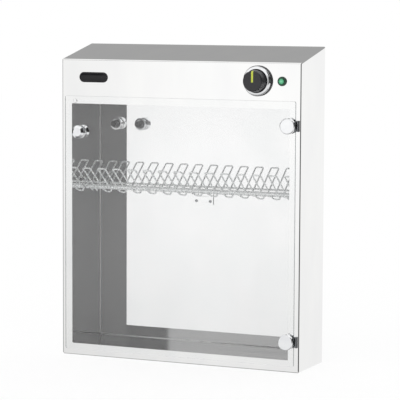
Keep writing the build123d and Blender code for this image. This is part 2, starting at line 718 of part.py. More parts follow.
def timer_knob():
    """The black knob, hollow over the timer's nut and shaft, with a seat for its ring and pointer."""
    seat = facing_front(TIMER_X, CONTROLS_Z)
    skirt_top = 2 * SLIDE_GAP + TIMER_SKIRT
    ring = disc(seat, TRIM_OUTER_RADIUS, TRIM_SINK, skirt_top - TRIM_SINK)
    ring -= disc(seat, TRIM_INNER_RADIUS, TRIM_SINK, skirt_top - TRIM_SINK)
    knob = knob_form() - ring
    nut_room = BUSH_NUT_FLATS / math.sqrt(3) + 2 * SLIDE_GAP
    knob -= disc(seat, nut_room, BUSH_REACH + SLIDE_GAP)
    knob -= extrude(seat.offset(BUSH_REACH) * shaft_section(RUNNING_GAP), SHAFT_REACH - BUSH_REACH + SLIDE_GAP)
    return knob - pointer_slot(RUNNING_GAP)


def knob_trim_ring():
    """The bright conical ring let into the skirt's front."""
    seat = facing_front(TIMER_X, CONTROLS_Z)
    low = 2 * SLIDE_GAP + TIMER_SKIRT - TRIM_SINK
    outline = [
        (TRIM_INNER_RADIUS + RUNNING_GAP, low),
        (TRIM_OUTER_RADIUS - RUNNING_GAP, low),
        (TRIM_OUTER_RADIUS - RUNNING_GAP, low + TRIM_SINK + TRIM_EDGE),
        (TRIM_INNER_RADIUS + 1.2, low + TRIM_SINK + TRIM_HEIGHT),
        (TRIM_INNER_RADIUS + RUNNING_GAP, low + TRIM_SINK + TRIM_HEIGHT),
    ]
    return turned(seat, outline)


def knob_pointer():
    """The coloured pointer let into the knob, flush with its face and its rounded edge."""
    return knob_form() & pointer_slot()


def pilot_lamp_lens():
    """The green lens: a wide collar and a domed centre."""
    seat = facing_front(PILOT_X, CONTROLS_Z)
    collar = PILOT_HEIGHT * 0.55
    lens = disc(seat, PILOT_RADIUS, collar)
    lens = fillet(rims(lens, seat, PILOT_RADIUS, collar), 1.2)
    dome = disc(seat, PILOT_CENTRE_RADIUS, PILOT_HEIGHT - collar, collar)
    dome = fillet(rims(dome, seat, PILOT_CENTRE_RADIUS, PILOT_HEIGHT), 1.5)
    return lens + dome


def pilot_lamp_body():
    """The pilot lamp's barrel behind the panel, with two blade contacts."""
    seat = facing_front(PILOT_X, CONTROLS_Z)
    body = disc(seat, PILOT_BODY_RADIUS, -PILOT_BODY_DEPTH)
    for side in (-1, 1):
        x = PILOT_X + side * 3.0
        tip = FRONT + PILOT_BODY_DEPTH
        body += block(x - 0.4, x + 0.4, tip, tip + 8.0, CONTROLS_Z - 2.4, CONTROLS_Z + 2.4)
    return body


def pilot_lamp_clip():
    """The push-on ring that holds the pilot lamp from behind."""
    seat = facing_front(PILOT_X, CONTROLS_Z, PANEL_BACK)
    ring = disc(seat, PILOT_BODY_RADIUS + 3.0, -1.5)
    return ring - disc(seat, PILOT_BODY_RADIUS + RUNNING_GAP, -1.5)


def badge_plate():
    """The bare pill-shaped plate on the control strip."""
    plate = extrude(facing_front(BADGE_X, CONTROLS_Z) * SlotOverall(BADGE_LENGTH, BADGE_HEIGHT), BADGE_THICKNESS)
    return chamfer(plate.faces().sort_by(Axis.Y)[0].edges(), BADGE_THICKNESS * 0.4)


def switch_box():
    """The limits of the interlock switch behind the front, low to high in X, Y and Z."""
    x0 = -INNER_SIDE + SLIDE_GAP
    z0 = PLUNGER_Z - PLUNGER_RADIUS - SLIDE_GAP
    return x0, x0 + SWITCH_WIDTH, PANEL_BACK, PANEL_BACK + SWITCH_DEPTH, z0, z0 + SWITCH_HEIGHT


def interlock_switch():
    """The switch that cuts the lamp when the door opens."""
    x0, x1, y0, y1, z0, z1 = switch_box()
    body = block(x0, x1, y0, y1, z0, z1)
    body = fillet(body.edges().filter_by(Axis.Z), 1.0)
    seat = facing_front(PLUNGER_X, PLUNGER_Z, PANEL_BACK)
    body -= disc(seat, PLUNGER_RADIUS + RUNNING_GAP, -(PLUNGER_TRAVEL + 3.0))
    body -= disc(seat, PLUNGER_STEM_RADIUS + RUNNING_GAP, -(SWITCH_DEPTH - 3.0))
    for x in ((x0 + x1) / 2 - 5.0, (x0 + x1) / 2 + 5.0):
        body += block(x - 0.4, x + 0.4, y1, y1 + 7.0, (z0 + z1) / 2 - 2.4, (z0 + z1) / 2 + 2.4)
    return body


def interlock_plunger():
    """The plunger, pressed in by the closed door and standing out when the door is open."""
    seat = facing_front(PLUNGER_X, PLUNGER_Z, PANEL_BACK)
    tip = SHEET + PANE_STANDOFF - SEAT_GAP
    head = disc(seat, PLUNGER_RADIUS, tip + 5.6, -5.6)
    head = fillet(rims(head, seat, PLUNGER_RADIUS, tip), 0.8)
    return head + disc(seat, PLUNGER_STEM_RADIUS, SWITCH_DEPTH - 8.0, -(SWITCH_DEPTH - 4.0))


def interlock_bracket():
    """The angle over the switch, spot-welded to the back of the front."""
    x0, x1, y0, y1, z0, z1 = switch_box()
    z = z1 + SEAT_GAP
    shelf = block(x0, x1, y0, y1, z, z + SHEET)
    return shelf + block(x0, x1, y0, y0 + SHEET, z, min(z + SWITCH_BRACKET_LEG, LINER_TOP - SLIDE_GAP))


def rack_legs():
    """The X of each leg of the zigzag wire, from left to right."""
    return [RACK_SIDE_SPACE - INNER_SIDE + step * RACK_STEP for step in range(2 * RACK_TEETH)]


def rack_wire():
    """The zigzag wire: teeth joined by short bars at the top and round bends at the foot."""
    legs = rack_legs()
    points = [(legs[0], RACK_LEG - RACK_WIRE_RADIUS)]
    radii = []
    for left, right in zip(legs[0::2], legs[1::2]):
        points += [(left, 0), (right, 0)]
        radii += [RACK_TOP_BEND, RACK_TOP_BEND]
        if right != legs[-1]:
            points += [(right, RACK_LEG), (right + RACK_STEP, RACK_LEG)]
            radii += [RACK_FOOT_BEND, RACK_FOOT_BEND]
    points.append((legs[-1], RACK_LEG - RACK_WIRE_RADIUS))
    path = RACK_PLANE * FilletPolyline(*points, radius=radii)
    start = Plane(origin=path @ 0, z_dir=path % 0)
    return sweep(start * Circle(RACK_WIRE_RADIUS), path)


def rack_rods():
    """The two rods that the zigzag wire is welded to."""
    rods = []
    for y, z in (REAR_ROD, FRONT_ROD):
        seat = facing_right(-INNER_SIDE + SEAT_GAP, y, z)
        rods.append(disc(seat, RACK_ROD_RADIUS, INNER_WIDTH - 2 * SEAT_GAP))
    return rods


def rack_end_brackets():
    """The plate at each end of the rack, against the side wall, that carries the rods."""
    back = REAR_ROD[0] + 7 * RACK_ROD_RADIUS
    top = rack_place(RACK_LEG * 0.36, 0)[1]
    front = rack_place(RACK_LEG * 0.08, 0)[0]
    points = [
        (front, top),
        (FRONT_ROD[0], top),
        (back, REAR_ROD[1] + 3 * RACK_ROD_RADIUS),
        (back, REAR_ROD[1] - 4 * RACK_ROD_RADIUS),
        (FRONT_ROD[0] - 2 * RACK_ROD_RADIUS, REAR_ROD[1] - 4 * RACK_ROD_RADIUS),
        (front, top - 5 * RACK_ROD_RADIUS),
    ]
    plates = []
    for x in (-INNER_SIDE, INNER_SIDE - RACK_END_PLATE):
        outline = make_face(facing_right(x, 0, 0) * Polyline(*points, close=True))
        plate = extrude(outline, RACK_END_PLATE, dir=(1, 0, 0))
        plate = fillet(plate.edges().filter_by(Axis.X), 2.0)
        for y, z in (REAR_ROD, FRONT_ROD):
            plate -= disc(facing_right(x, y, z), RACK_ROD_RADIUS + RUNNING_GAP, RACK_END_PLATE)
        for y, z in end_plate_rivet_places():
            plate -= disc(facing_right(x, y, z), RIVET_SHANK + RUNNING_GAP, RACK_END_PLATE)
        plates.append(plate)
    return plates


def rack_rivets():
    """The rivets that hold the end plates to the chamber's side walls."""
    rivets = []
    length = RACK_END_PLATE + LINER_SHEET + 1.2
    for y, z in end_plate_rivet_places():
        for seat in (
            facing_right(-INNER_SIDE + RACK_END_PLATE, y, z),
            facing_left(INNER_SIDE - RACK_END_PLATE, y, z),
        ):
            rivets.append(pan_screw(seat, RIVET_HEAD, RIVET_HEAD_HEIGHT, RIVET_SHANK, length))
    return rivets


def rack_centre_bracket():
    """The bracket on the back wall, with two fingers between the wire's bends under the rear rod."""
    finger = RACK_STEP - 2 * RACK_WIRE_RADIUS - 4.4
    arm_top = REAR_ROD[1] - RACK_ROD_RADIUS - RUNNING_GAP
    low = REAR_ROD[1] - RACK_BRACKET_DROP
    neck = low + RACK_BRACKET_DROP * 0.6
    reach = RACK_STEP + finger / 2
    wall = LINER_BACK - RACK_BRACKET
    bracket = block(-reach, reach, wall, LINER_BACK, low, neck)
    for side in (-1, 1):
        x = side * RACK_STEP
        bracket += block(x - finger / 2, x + finger / 2, wall, LINER_BACK, low, arm_top)
        front = REAR_ROD[0] - RACK_ROD_RADIUS
        bracket += block(x - finger / 2, x + finger / 2, front, LINER_BACK, arm_top - RACK_BRACKET, arm_top)
        seat = facing_front(side * RACK_SCREW_SPACING / 2, RACK_SCREW_Z, LINER_BACK)
        bracket -= disc(seat, RACK_SCREW_RADIUS + RUNNING_GAP, RACK_BRACKET)
    return bracket


def rack_screws():
    """The two screws that hold the centre bracket to the back wall."""
    screws = []
    for side in (-1, 1):
        seat = facing_front(side * RACK_SCREW_SPACING / 2, RACK_SCREW_Z, LINER_BACK - RACK_BRACKET)
        length = RACK_BRACKET + LINER_SHEET + SHEET
        screws.append(pan_screw(seat, RACK_SCREW_HEAD, 1.8, RACK_SCREW_RADIUS, length))
    return screws


def hinge_frame_leaves():
    """The leaves riveted to the front, each with an upper and a lower knuckle."""
    leaves = []
    half = DOOR_KNUCKLE / 2 + SLIDE_GAP + FRAME_KNUCKLE
    for middle in HINGE_HEIGHTS:
        leaf = block(HINGE_X - FRAME_LEAF_WIDTH, HINGE_X, FRONT - LEAF, FRONT, middle - half, middle + half)
        room = DOOR_KNUCKLE / 2 + SLIDE_GAP
        edge = HINGE_X - KNUCKLE_RADIUS - SLIDE_GAP
        leaf -= block(edge, HINGE_X, FRONT - LEAF, FRONT, middle - room, middle + room)
        for start in (-half, room):
            seat = facing_up(HINGE_X, HINGE_Y, middle)
            leaf += disc(seat, KNUCKLE_RADIUS, FRAME_KNUCKLE, start)
        leaf -= disc(facing_up(HINGE_X, HINGE_Y, middle - half), HINGE_PIN_RADIUS, 2 * half)
        for offset in (-RIVET_SPACING / 2, RIVET_SPACING / 2):
            leaf -= disc(facing_front(RIVET_X, middle + offset), RIVET_SHANK + RUNNING_GAP, LEAF)
        leaves.append(leaf)
    return leaves


def hinge_door_leaves():
    """The leaves behind the pane, each with one middle knuckle and a threaded collar in the pane's hole."""
    leaves = []
    half = DOOR_KNUCKLE / 2
    for middle in HINGE_HEIGHTS:
        left = HINGE_X - DOOR_LEAF_WIDTH - KNUCKLE_RADIUS
        leaf = block(left, HINGE_X, PANE_INNER, PANE_INNER + LEAF, middle - half, middle + half)
        leaf += disc(facing_up(HINGE_X, HINGE_Y, middle), KNUCKLE_RADIUS, DOOR_KNUCKLE, -half)
        leaf -= disc(facing_up(HINGE_X, HINGE_Y, middle), HINGE_PIN_RADIUS + RUNNING_GAP, DOOR_KNUCKLE, -half)
        collar_seat = facing_front(CAP_X, middle, PANE_INNER + LEAF)
        leaf += disc(collar_seat, LEAF_COLLAR, LEAF + LEAF_COLLAR_HEIGHT)
        leaf -= disc(collar_seat, CAP_SCREW_RADIUS + RUNNING_GAP, LEAF + LEAF_COLLAR_HEIGHT)
        leaves.append(leaf)
    return leaves


def hinge_pins():
    """The pins through the knuckles."""
    half = DOOR_KNUCKLE / 2 + SLIDE_GAP + FRAME_KNUCKLE
    return [disc(facing_up(HINGE_X, HINGE_Y, z), HINGE_PIN_RADIUS, 2 * half, -half) for z in HINGE_HEIGHTS]


def hinge_rivets():
    """The flat rivets that hold the frame leaves to the front."""
    length = LEAF + SHEET + LINER_SHEET + 1.2
    seats = [facing_front(x, z, FRONT - LEAF) for x, z in rivet_places()]
    return [pan_screw(seat, RIVET_HEAD, RIVET_HEAD_HEIGHT, RIVET_SHANK, length) for seat in seats]


def hinge_cap_bases():
    """The discs clamped to the pane's front, that the round caps snap over."""
    bases = []
    for z in HINGE_HEIGHTS:
        seat = facing_front(CAP_X, z, PANE_OUTER)
        radius = CAP_RADIUS - CAP_WALL - SEAT_GAP
        bases.append(disc(seat, radius, CAP_BASE) - disc(seat, CAP_SCREW_RADIUS + SEAT_GAP, CAP_BASE))
    return bases


def cap_screws():
    """The screws through base and pane into the collar of the hinge's door leaf."""
    seats = [facing_front(CAP_X, z, PANE_OUTER - CAP_BASE) for z in HINGE_HEIGHTS]
    length = CAP_BASE + PANE
    return [pan_screw(seat, CAP_SCREW_HEAD, CAP_SCREW_HEAD_HEIGHT, CAP_SCREW_RADIUS, length) for seat in seats]


def hinge_caps():
    """The bright round caps over the hinge screws."""
    caps = []
    for z in HINGE_HEIGHTS:
        seat = facing_front(CAP_X, z, PANE_OUTER)
        cap = disc(seat, CAP_RADIUS, CAP_HEIGHT)
        cap = fillet(rims(cap, seat, CAP_RADIUS, CAP_HEIGHT), CAP_ROUND)
        caps.append(cap - disc(seat, CAP_RADIUS - CAP_WALL, CAP_HEIGHT - CAP_WALL))
    return caps


def door_pane():
    """The clear door, with holes for the two hinge collars and the knob's stud."""
    middle = (PANE_TOP + PANE_BOTTOM) / 2
    outline = RectangleRounded(2 * PANE_SIDE, PANE_TOP - PANE_BOTTOM, PANE_CORNER)
    pane = extrude(facing_front(0, middle, PANE_INNER) * outline, PANE)
    faces = pane.faces().sort_by(Axis.Y)
    pane = chamfer(faces[0].edges() + faces[-1].edges(), PANE_EDGE)
    for z in HINGE_HEIGHTS:
        pane -= disc(facing_front(CAP_X, z, PANE_INNER), LEAF_COLLAR + SEAT_GAP, PANE)
    return pane - disc(facing_front(KNOB_X, KNOB_Z, PANE_INNER), KNOB_STUD_RADIUS + SEAT_GAP, PANE)


def door_knob():
    """The turned knob: a wide foot, a waist and a thick grip with a crowned edge."""
    seat = facing_front(KNOB_X, KNOB_Z, PANE_OUTER)
    drawing = Plane(origin=seat.origin, x_dir=seat.x_dir, z_dir=-seat.y_dir)
    crown_at = KNOB_LENGTH - KNOB_CROWN
    grip_at = crown_at - KNOB_GRIP
    middle = KNOB_FACE_RADIUS + KNOB_CROWN_FULLNESS * (KNOB_RADIUS - KNOB_FACE_RADIUS)
    lines = [
        Line((0, 0), (KNOB_FOOT_RADIUS, 0)),
        Line((KNOB_FOOT_RADIUS, 0), (KNOB_FOOT_RADIUS, KNOB_FOOT)),
        Spline(
            (KNOB_FOOT_RADIUS, KNOB_FOOT),
            (KNOB_NECK_RADIUS, KNOB_NECK_AT),
            tangents=((-1, 0.2), (0, 1)),
        ),
        Spline(
            (KNOB_NECK_RADIUS, KNOB_NECK_AT),
            (KNOB_RADIUS, grip_at),
            tangents=((0, 1), (0, 1)),
        ),
        Line((KNOB_RADIUS, grip_at), (KNOB_RADIUS, crown_at)),
        ThreePointArc(
            (KNOB_RADIUS, crown_at),
            (middle, crown_at + KNOB_CROWN_FULLNESS * KNOB_CROWN),
            (KNOB_FACE_RADIUS, KNOB_LENGTH),
        ),
        Line((KNOB_FACE_RADIUS, KNOB_LENGTH), (0, KNOB_LENGTH)),
        Line((0, KNOB_LENGTH), (0, 0)),
    ]
    face = make_face([drawing * line for line in lines])
    knob = revolve(face, Axis(seat.origin, seat.z_dir))
    return knob - disc(seat, KNOB_STUD_RADIUS + RUNNING_GAP, KNOB_STUD_DEPTH + SEAT_GAP)


def door_knob_stud():
    """The threaded stud from inside the knob, through the pane, into the cap nut."""
    seat = facing_front(KNOB_X, KNOB_Z, PANE_OUTER)
    return disc(seat, KNOB_STUD_RADIUS, KNOB_STUD_DEPTH + PANE + KNOB_NUT_LENGTH - 3.0, -PANE - KNOB_NUT_LENGTH + 3.0)


def door_knob_nut():
    """The dark cap nut behind the pane."""
    seat = facing_front(KNOB_X, KNOB_Z, PANE_INNER)
    nut = disc(seat, KNOB_NUT_RADIUS, -KNOB_NUT_LENGTH)
    nut = fillet(rims(nut, seat, KNOB_NUT_RADIUS, -KNOB_NUT_LENGTH), 1.5)
    return nut - disc(seat, KNOB_STUD_RADIUS + RUNNING_GAP, -(KNOB_NUT_LENGTH - 2.6))


PIECES = [
    housing_shell, back_panel, back_panel_screws, chamber_liner, chamber_floor, chamber_top,
    lamp_reflector, uv_lamp_tube, lamp_end_caps, lamp_pins, lamp_holders, lamp_holder_rotors,
    ballast, ballast_screws, starter_holder, starter, terminal_block, earth_stud,
    cable_gland, gland_locknut,
    timer_body, timer_nut, timer_shaft, timer_knob, knob_trim_ring, knob_pointer,
    pilot_lamp_lens, pilot_lamp_body, pilot_lamp_clip, badge_plate,
    interlock_switch, interlock_plunger, interlock_bracket,
    rack_wire, rack_rods, rack_end_brackets, rack_rivets, rack_centre_bracket, rack_screws,
    hinge_frame_leaves, hinge_door_leaves, hinge_pins, hinge_rivets,
    hinge_cap_bases, cap_screws, hinge_caps,
    door_pane, door_knob, door_knob_stud, door_knob_nut,
]

os.makedirs("parts", exist_ok=True)
for make in PIECES:
    piece = make()
    if isinstance(piece, list):
        piece = Compound(children=[solid for one in piece for solid in one.solids()])
    export_step(piece, f"parts/{make.__name__}.step")
    print(f"{make.__name__:22s} {len(piece.solids()):3d} solids {piece.volume / 1000:10.2f} cm3")
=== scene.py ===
import math
import bmesh
import bpy
import numpy as np
from mathutils import Matrix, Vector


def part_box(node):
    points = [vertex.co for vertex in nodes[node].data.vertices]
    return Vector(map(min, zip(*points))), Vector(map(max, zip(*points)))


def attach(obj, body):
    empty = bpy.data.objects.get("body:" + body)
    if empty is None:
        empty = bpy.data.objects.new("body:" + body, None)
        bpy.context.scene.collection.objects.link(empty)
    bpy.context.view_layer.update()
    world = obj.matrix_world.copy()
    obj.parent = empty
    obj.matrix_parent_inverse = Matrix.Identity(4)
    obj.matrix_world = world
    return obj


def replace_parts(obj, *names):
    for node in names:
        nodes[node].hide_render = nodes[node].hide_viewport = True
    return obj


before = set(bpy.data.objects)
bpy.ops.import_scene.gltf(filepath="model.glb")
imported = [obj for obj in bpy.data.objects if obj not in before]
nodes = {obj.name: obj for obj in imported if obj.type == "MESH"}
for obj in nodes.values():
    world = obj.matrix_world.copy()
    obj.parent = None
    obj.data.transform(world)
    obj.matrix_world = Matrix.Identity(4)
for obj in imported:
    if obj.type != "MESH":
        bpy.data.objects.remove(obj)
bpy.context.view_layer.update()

# camera: right of the cabinet's front and a little above its top, with a long lens
view = {"place": (1.60808, -3.54855, 0.70142), "yaw": 24.132, "down": 5.686, "roll": 0.256, "lens": 179.943,
        "sensor": 36.0, "reach": 60.0}
yaw, down, roll = (math.radians(view[key]) for key in ("yaw", "down", "roll"))
ahead = np.array([-math.sin(yaw) * math.cos(down), math.cos(yaw) * math.cos(down), -math.sin(down)])
sideways = np.array([math.cos(yaw), math.sin(yaw), 0.0])
upward = np.cross(sideways, ahead)
placed = np.eye(4)
placed[:3, 0] = math.cos(roll) * sideways + math.sin(roll) * upward
placed[:3, 1] = math.cos(roll) * upward - math.sin(roll) * sideways
placed[:3, 2] = -ahead
placed[:3, 3] = view["place"]
cameraData = bpy.data.cameras.new("photoCamera")
cameraData.lens = view["lens"]
cameraData.sensor_width = view["sensor"]
cameraData.clip_end = view["reach"]
camera = bpy.data.objects.new("photoCamera", cameraData)
bpy.context.scene.collection.objects.link(camera)
camera.matrix_world = Matrix(placed.tolist())
bpy.context.scene.camera = camera
bpy.context.scene.view_settings.view_transform = "Standard"
print("camera set")


# sRGB hex to linear: c / 12.92 up to 0.04045, else ((c + 0.055) / 1.055) ^ 2.4
def hexColour(text):
    parts = [int(text[i:i + 2], 16) / 255 for i in (1, 3, 5)]
    return tuple(c / 12.92 if c <= 0.04045 else ((c + 0.055) / 1.055) ** 2.4 for c in parts) + (1.0,)


# adds one node with its own settings; what is given to a socket is linked if it comes from a node, else set
def addNode(tree, kind, own=None, given=None):
    node = tree.nodes.new(kind)
    for name, value in (own or {}).items():
        setattr(node, name, value)
    for name, value in (given or {}).items():
        if isinstance(value, bpy.types.NodeSocket):
            tree.links.new(value, node.inputs[name])
        else:
            node.inputs[name].default_value = value
    return node


# a plain level as a linear colour
def grey(level):
    return (level, level, level, 1.0)


white = grey(1.0)


# puts (place, colour or level) pairs on a ramp
def fillRamp(ramp, stops):
    points = ramp.color_ramp.elements
    while len(points) < len(stops):
        points.new(0.5)
    for point, (place, colour) in zip(points, stops):
        point.position = place
        point.color = grey(colour) if isinstance(colour, (int, float)) else colour


# the studio: white to the camera, a plain level on the object, and the cards that polished steel mirrors
studio = {
    "plainLevel": 1.0,
    # bearing from the front in degrees, positive to the right, and the level there
    "round": [(-180, 0.93), (-168, 0.93), (-158, 0.03), (-60, 0.03), (-50, 0.92), (-28, 0.90), (-24.5, 1.0),
              (-5, 1.0), (7, 0.85), (13, 0.13), (18, 0.105), (38, 0.08), (60, 0.02), (92, 0.02), (108, 0.25),
              (124, 0.86), (142, 0.93), (180, 0.93)],
    # heights are sines of the angle above the horizon; these are the levels behind the object
    "behind": [(0.0, 1.0), (0.05, 0.60), (0.12, 0.38), (0.60, 0.36), (0.74, 0.5), (0.84, 1.0), (0.92, 0.9),
               (1.0, 0.6)],
    "lowLight": (-0.235, -0.185),  # under these heights the dark cards end and a light floor shows
    "leftHalf": (0.0, -0.4),  # bearings in radians over which the left half begins
    "highLight": (0.62, 0.74),  # above these heights the dark card on the left ends
    "frontSky": (0.22, 0.32),  # in front the dark card on the right ends between these heights
    "sideCard": (36.0, 46.0, 112.0, 122.0),  # and between these bearings it goes up to these heights
    "sideSky": (0.76, 0.88),
    "zenith": (0.93, 0.99),  # straight above is the ceiling behind the soft box, with this level
    "ceiling": 0.55,
    "frontHalf": (-0.25, 0.0),  # how far to the front the front half begins
    "fade": (-0.20, -0.08),  # all darkens downwards between these heights
    "faded": {"front": 0.80, "behind": 0.93},
    "ground": (-0.60, -0.78),  # the ground close under the object takes over between these heights
    "groundTurn": (0.1, 0.5),  # and turns from its level behind to its level in front
    "groundLevels": {"behind": 0.15, "front": 0.50},
    # two cards in front on the left, grey and dark, which the chamber's floor mirrors by way of the back wall
    "cards": [{"bearing": (-24.99, 0.0), "height": (0.075, 0.26), "level": 0.36, "soft": 0.001},
              {"bearing": (-62.0, -24.99), "height": (0.075, 0.26), "level": 0.06, "soft": 0.001},
              # and a grey one straight out on each side, which the cabinet's own sides mirror
              {"bearing": (82.0, 98.0), "height": (-0.10, 0.09), "level": 0.44, "soft": 0.04},
              {"bearing": (-98.0, -82.0), "height": (-0.10, 0.09), "level": 0.44, "soft": 0.04}],
}
world = bpy.data.worlds.new("plainStudio")
bpy.context.scene.world = world
world.use_nodes = True
world.cycles.sampling_method = "NONE"
tree = world.node_tree
tree.nodes.clear()
seen = addNode(tree, "ShaderNodeTexCoord")
axes = addNode(tree, "ShaderNodeSeparateXYZ", given={0: seen.outputs["Generated"]})
frontward = addNode(tree, "ShaderNodeMath", {"operation": "MULTIPLY"}, {0: axes.outputs["Y"], 1: -1.0})
bearing = addNode(tree, "ShaderNodeMath", {"operation": "ARCTAN2"}, {0: axes.outputs["X"], 1: frontward.outputs[0]})
height, turn, front = axes.outputs["Z"], bearing.outputs[0], frontward.outputs[0]


# lays one colour over another where every span holds: a span is (source, from, to), its share rises from 0 to 1
# between the two values, and the shares are multiplied
def layOver(tree, under, over, *spans):
    share = 1.0
    for source, low, high in spans:
        part = addNode(tree, "ShaderNodeMapRange", given={"Value": source, "From Min": low, "From Max": high})
        both = addNode(tree, "ShaderNodeMath", {"operation": "MULTIPLY"}, {0: share, 1: part.outputs[0]})
        share = both.outputs[0]
    laid = addNode(tree, "ShaderNodeMix", {"data_type": "RGBA"}, {0: share, 6: under, 7: over})
    return laid.outputs[2]


wholeTurn = addNode(tree, "ShaderNodeMapRange", given={"Value": turn, "From Min": -math.pi, "From Max": math.pi})
cards = addNode(tree, "ShaderNodeValToRGB", given={"Fac": wholeTurn.outputs[0]})
fillRamp(cards, [((angle + 180) / 360, level) for angle, level in studio["round"]])
room = layOver(tree, white, cards.outputs["Color"], (height, *studio["lowLight"]))
room = layOver(tree, room, white, (turn, *studio["leftHalf"]), (height, *studio["highLight"]))
near, nearer, farther, far = (math.radians(angle) for angle in studio["sideCard"])
sky = layOver(tree, white, room, (turn, near, nearer), (turn, far, farther))
room = layOver(tree, room, sky, (height, *studio["frontSky"]))
room = layOver(tree, room, white, (height, *studio["sideSky"]))
room = layOver(tree, room, grey(studio["ceiling"]), (height, *studio["zenith"]))
for card in studio["cards"]:
    soft = card["soft"]
    left, right = (math.radians(angle) for angle in card["bearing"])
    bottom, top = card["height"]
    room = layOver(tree, room, grey(card["level"]),
                   (turn, left - soft, left + soft), (turn, right + soft, right - soft),
                   (height, bottom - soft, bottom + soft), (height, top + soft, top - soft))
behind = addNode(tree, "ShaderNodeValToRGB", given={"Fac": height})
fillRamp(behind, studio["behind"])
overhead = layOver(tree, behind.outputs["Color"], white, (front, *studio["frontHalf"]))
faded, groundLevels = studio["faded"], studio["groundLevels"]
lowest = layOver(tree, grey(faded["behind"]), grey(faded["front"]), (front, *studio["frontHalf"]))
fade = layOver(tree, lowest, white, (height, *studio["fade"]))
for layer in (overhead, fade):
    dimmed = addNode(tree, "ShaderNodeMix", {"data_type": "RGBA", "blend_type": "MULTIPLY"},
                     {0: 1.0, 6: room, 7: layer})
    room = dimmed.outputs[2]
ground = layOver(tree, grey(groundLevels["behind"]), grey(groundLevels["front"]), (front, *studio["groundTurn"]))
room = layOver(tree, room, ground, (height, *studio["ground"]))
# steel mirrors the room; light that a surface has scattered, and every other ray, meets the plain level
ways = addNode(tree, "ShaderNodeLightPath")
onObject = layOver(tree, grey(studio["plainLevel"]), room,
                   (ways.outputs["Is Glossy Ray"], 0.0, 1.0), (ways.outputs["Diffuse Depth"], 1.0, 0.0))
toCamera = layOver(tree, onObject, white, (ways.outputs["Is Camera Ray"], 0.0, 1.0))
light = addNode(tree, "ShaderNodeBackground", given={"Strength": 1.0, "Color": toCamera})
addNode(tree, "ShaderNodeOutputWorld", given={"Surface": light.outputs[0]})
print("studio lit")

# the pale floor: matt white paper with a soft shadow under the object, and no hindrance to what steel mirrors
floorLook = {"half": 9.0, "below": 0.0004, "shadow": 0.2}
half = floorLook["half"]
floorMesh = bpy.data.meshes.new("paleFloor")
floorMesh.from_pydata([(-half, -half, -floorLook["below"]), (half, -half, -floorLook["below"]),
                       (half, half, -floorLook["below"]), (-half, half, -floorLook["below"])], [], [(0, 1, 2, 3)])
floor = bpy.data.objects.new("paleFloor", floorMesh)
bpy.context.scene.collection.objects.link(floor)
paper = bpy.data.materials.new("whitePaperFloor")
paper.use_nodes = True
tree = paper.node_tree
tree.nodes.clear()
shaded = addNode(tree, "ShaderNodeBsdfDiffuse", given={"Color": white})
lit = addNode(tree, "ShaderNodeEmission", given={"Color": white, "Strength": 1.0})
clear = addNode(tree, "ShaderNodeBsdfTransparent")
ways = addNode(tree, "ShaderNodeLightPath")
page = addNode(tree, "ShaderNodeMixShader", given={0: floorLook["shadow"], 1: lit.outputs[0], 2: shaded.outputs[0]})
whole = addNode(tree, "ShaderNodeMixShader",
                given={0: ways.outputs["Is Glossy Ray"], 1: page.outputs[0], 2: clear.outputs[0]})
addNode(tree, "ShaderNodeOutputMaterial", given={"Surface": whole.outputs[0]})
floorMesh.materials.append(paper)
print("floor laid")


# a finish: two tones over a grain, roughness between two ends, a fine relief and slow waves in the sheet
# height = relief * fine noise + wave * slow noise, in metres; grain sizes are along X, Y and Z in mm, and relief
# and wave are (size, depth) in mm. A noise lies mostly inside noiseSpan, where tones and roughness run end to end
noiseSpan = {"tones": (0.32, 0.68), "rough": (0.3, 0.7)}
# what holds where a look doesn't say it
plainLook = {"detail": 2.0, "reliefDetail": 1.0, "relief": (1.0, 0.0), "wave": (100.0, 0.0), "shader": {}}


def finish(name, look):
    look = {**plainLook, **look}
    made = bpy.data.materials.new(name)
    made.use_nodes = True
    tree = made.node_tree
    shader = tree.nodes["Principled BSDF"]
    for socket, value in look["shader"].items():
        shader.inputs[socket].default_value = value
    place = addNode(tree, "ShaderNodeTexCoord")
    grain = addNode(tree, "ShaderNodeMapping",
                    given={"Scale": [1000 / mm for mm in look["grain"]], "Vector": place.outputs["Object"]})
    cloud = addNode(tree, "ShaderNodeTexNoise",
                    given={"Scale": 1.0, "Detail": look["detail"], "Vector": grain.outputs[0]})
    tones = addNode(tree, "ShaderNodeValToRGB", given={"Fac": cloud.outputs["Fac"]})
    fillRamp(tones, [(share, hexColour(tone)) for share, tone in zip(noiseSpan["tones"], look["tones"])])
    tree.links.new(tones.outputs["Color"], shader.inputs["Base Color"])
    (calm, lively), (smooth, coarse) = noiseSpan["rough"], look["rough"]
    rough = addNode(tree, "ShaderNodeMapRange", given={"Value": cloud.outputs["Fac"], "From Min": calm,
                                                       "From Max": lively, "To Min": smooth, "To Max": coarse})
    tree.links.new(rough.outputs[0], shader.inputs["Roughness"])
    (fineSize, fineDepth), (waveSize, waveDepth) = look["relief"], look["wave"]
    if fineDepth or waveDepth:
        even = {"Detail": look["reliefDetail"], "Vector": place.outputs["Object"]}
        fine = addNode(tree, "ShaderNodeTexNoise", given={"Scale": 1000 / fineSize, **even})
        slow = addNode(tree, "ShaderNodeTexNoise", given={"Scale": 1000 / waveSize, **even})
        fineHeight = addNode(tree, "ShaderNodeMath", {"operation": "MULTIPLY"},
                             {0: fine.outputs["Fac"], 1: fineDepth / 1000})
        height = addNode(tree, "ShaderNodeMath", {"operation": "MULTIPLY_ADD"},
                         {0: slow.outputs["Fac"], 1: waveDepth / 1000, 2: fineHeight.outputs[0]})
        bump = addNode(tree, "ShaderNodeBump",
                       given={"Strength": 1.0, "Distance": 1.0, "Height": height.outputs[0]})
        tree.links.new(bump.outputs[0], shader.inputs["Normal"])
    return made


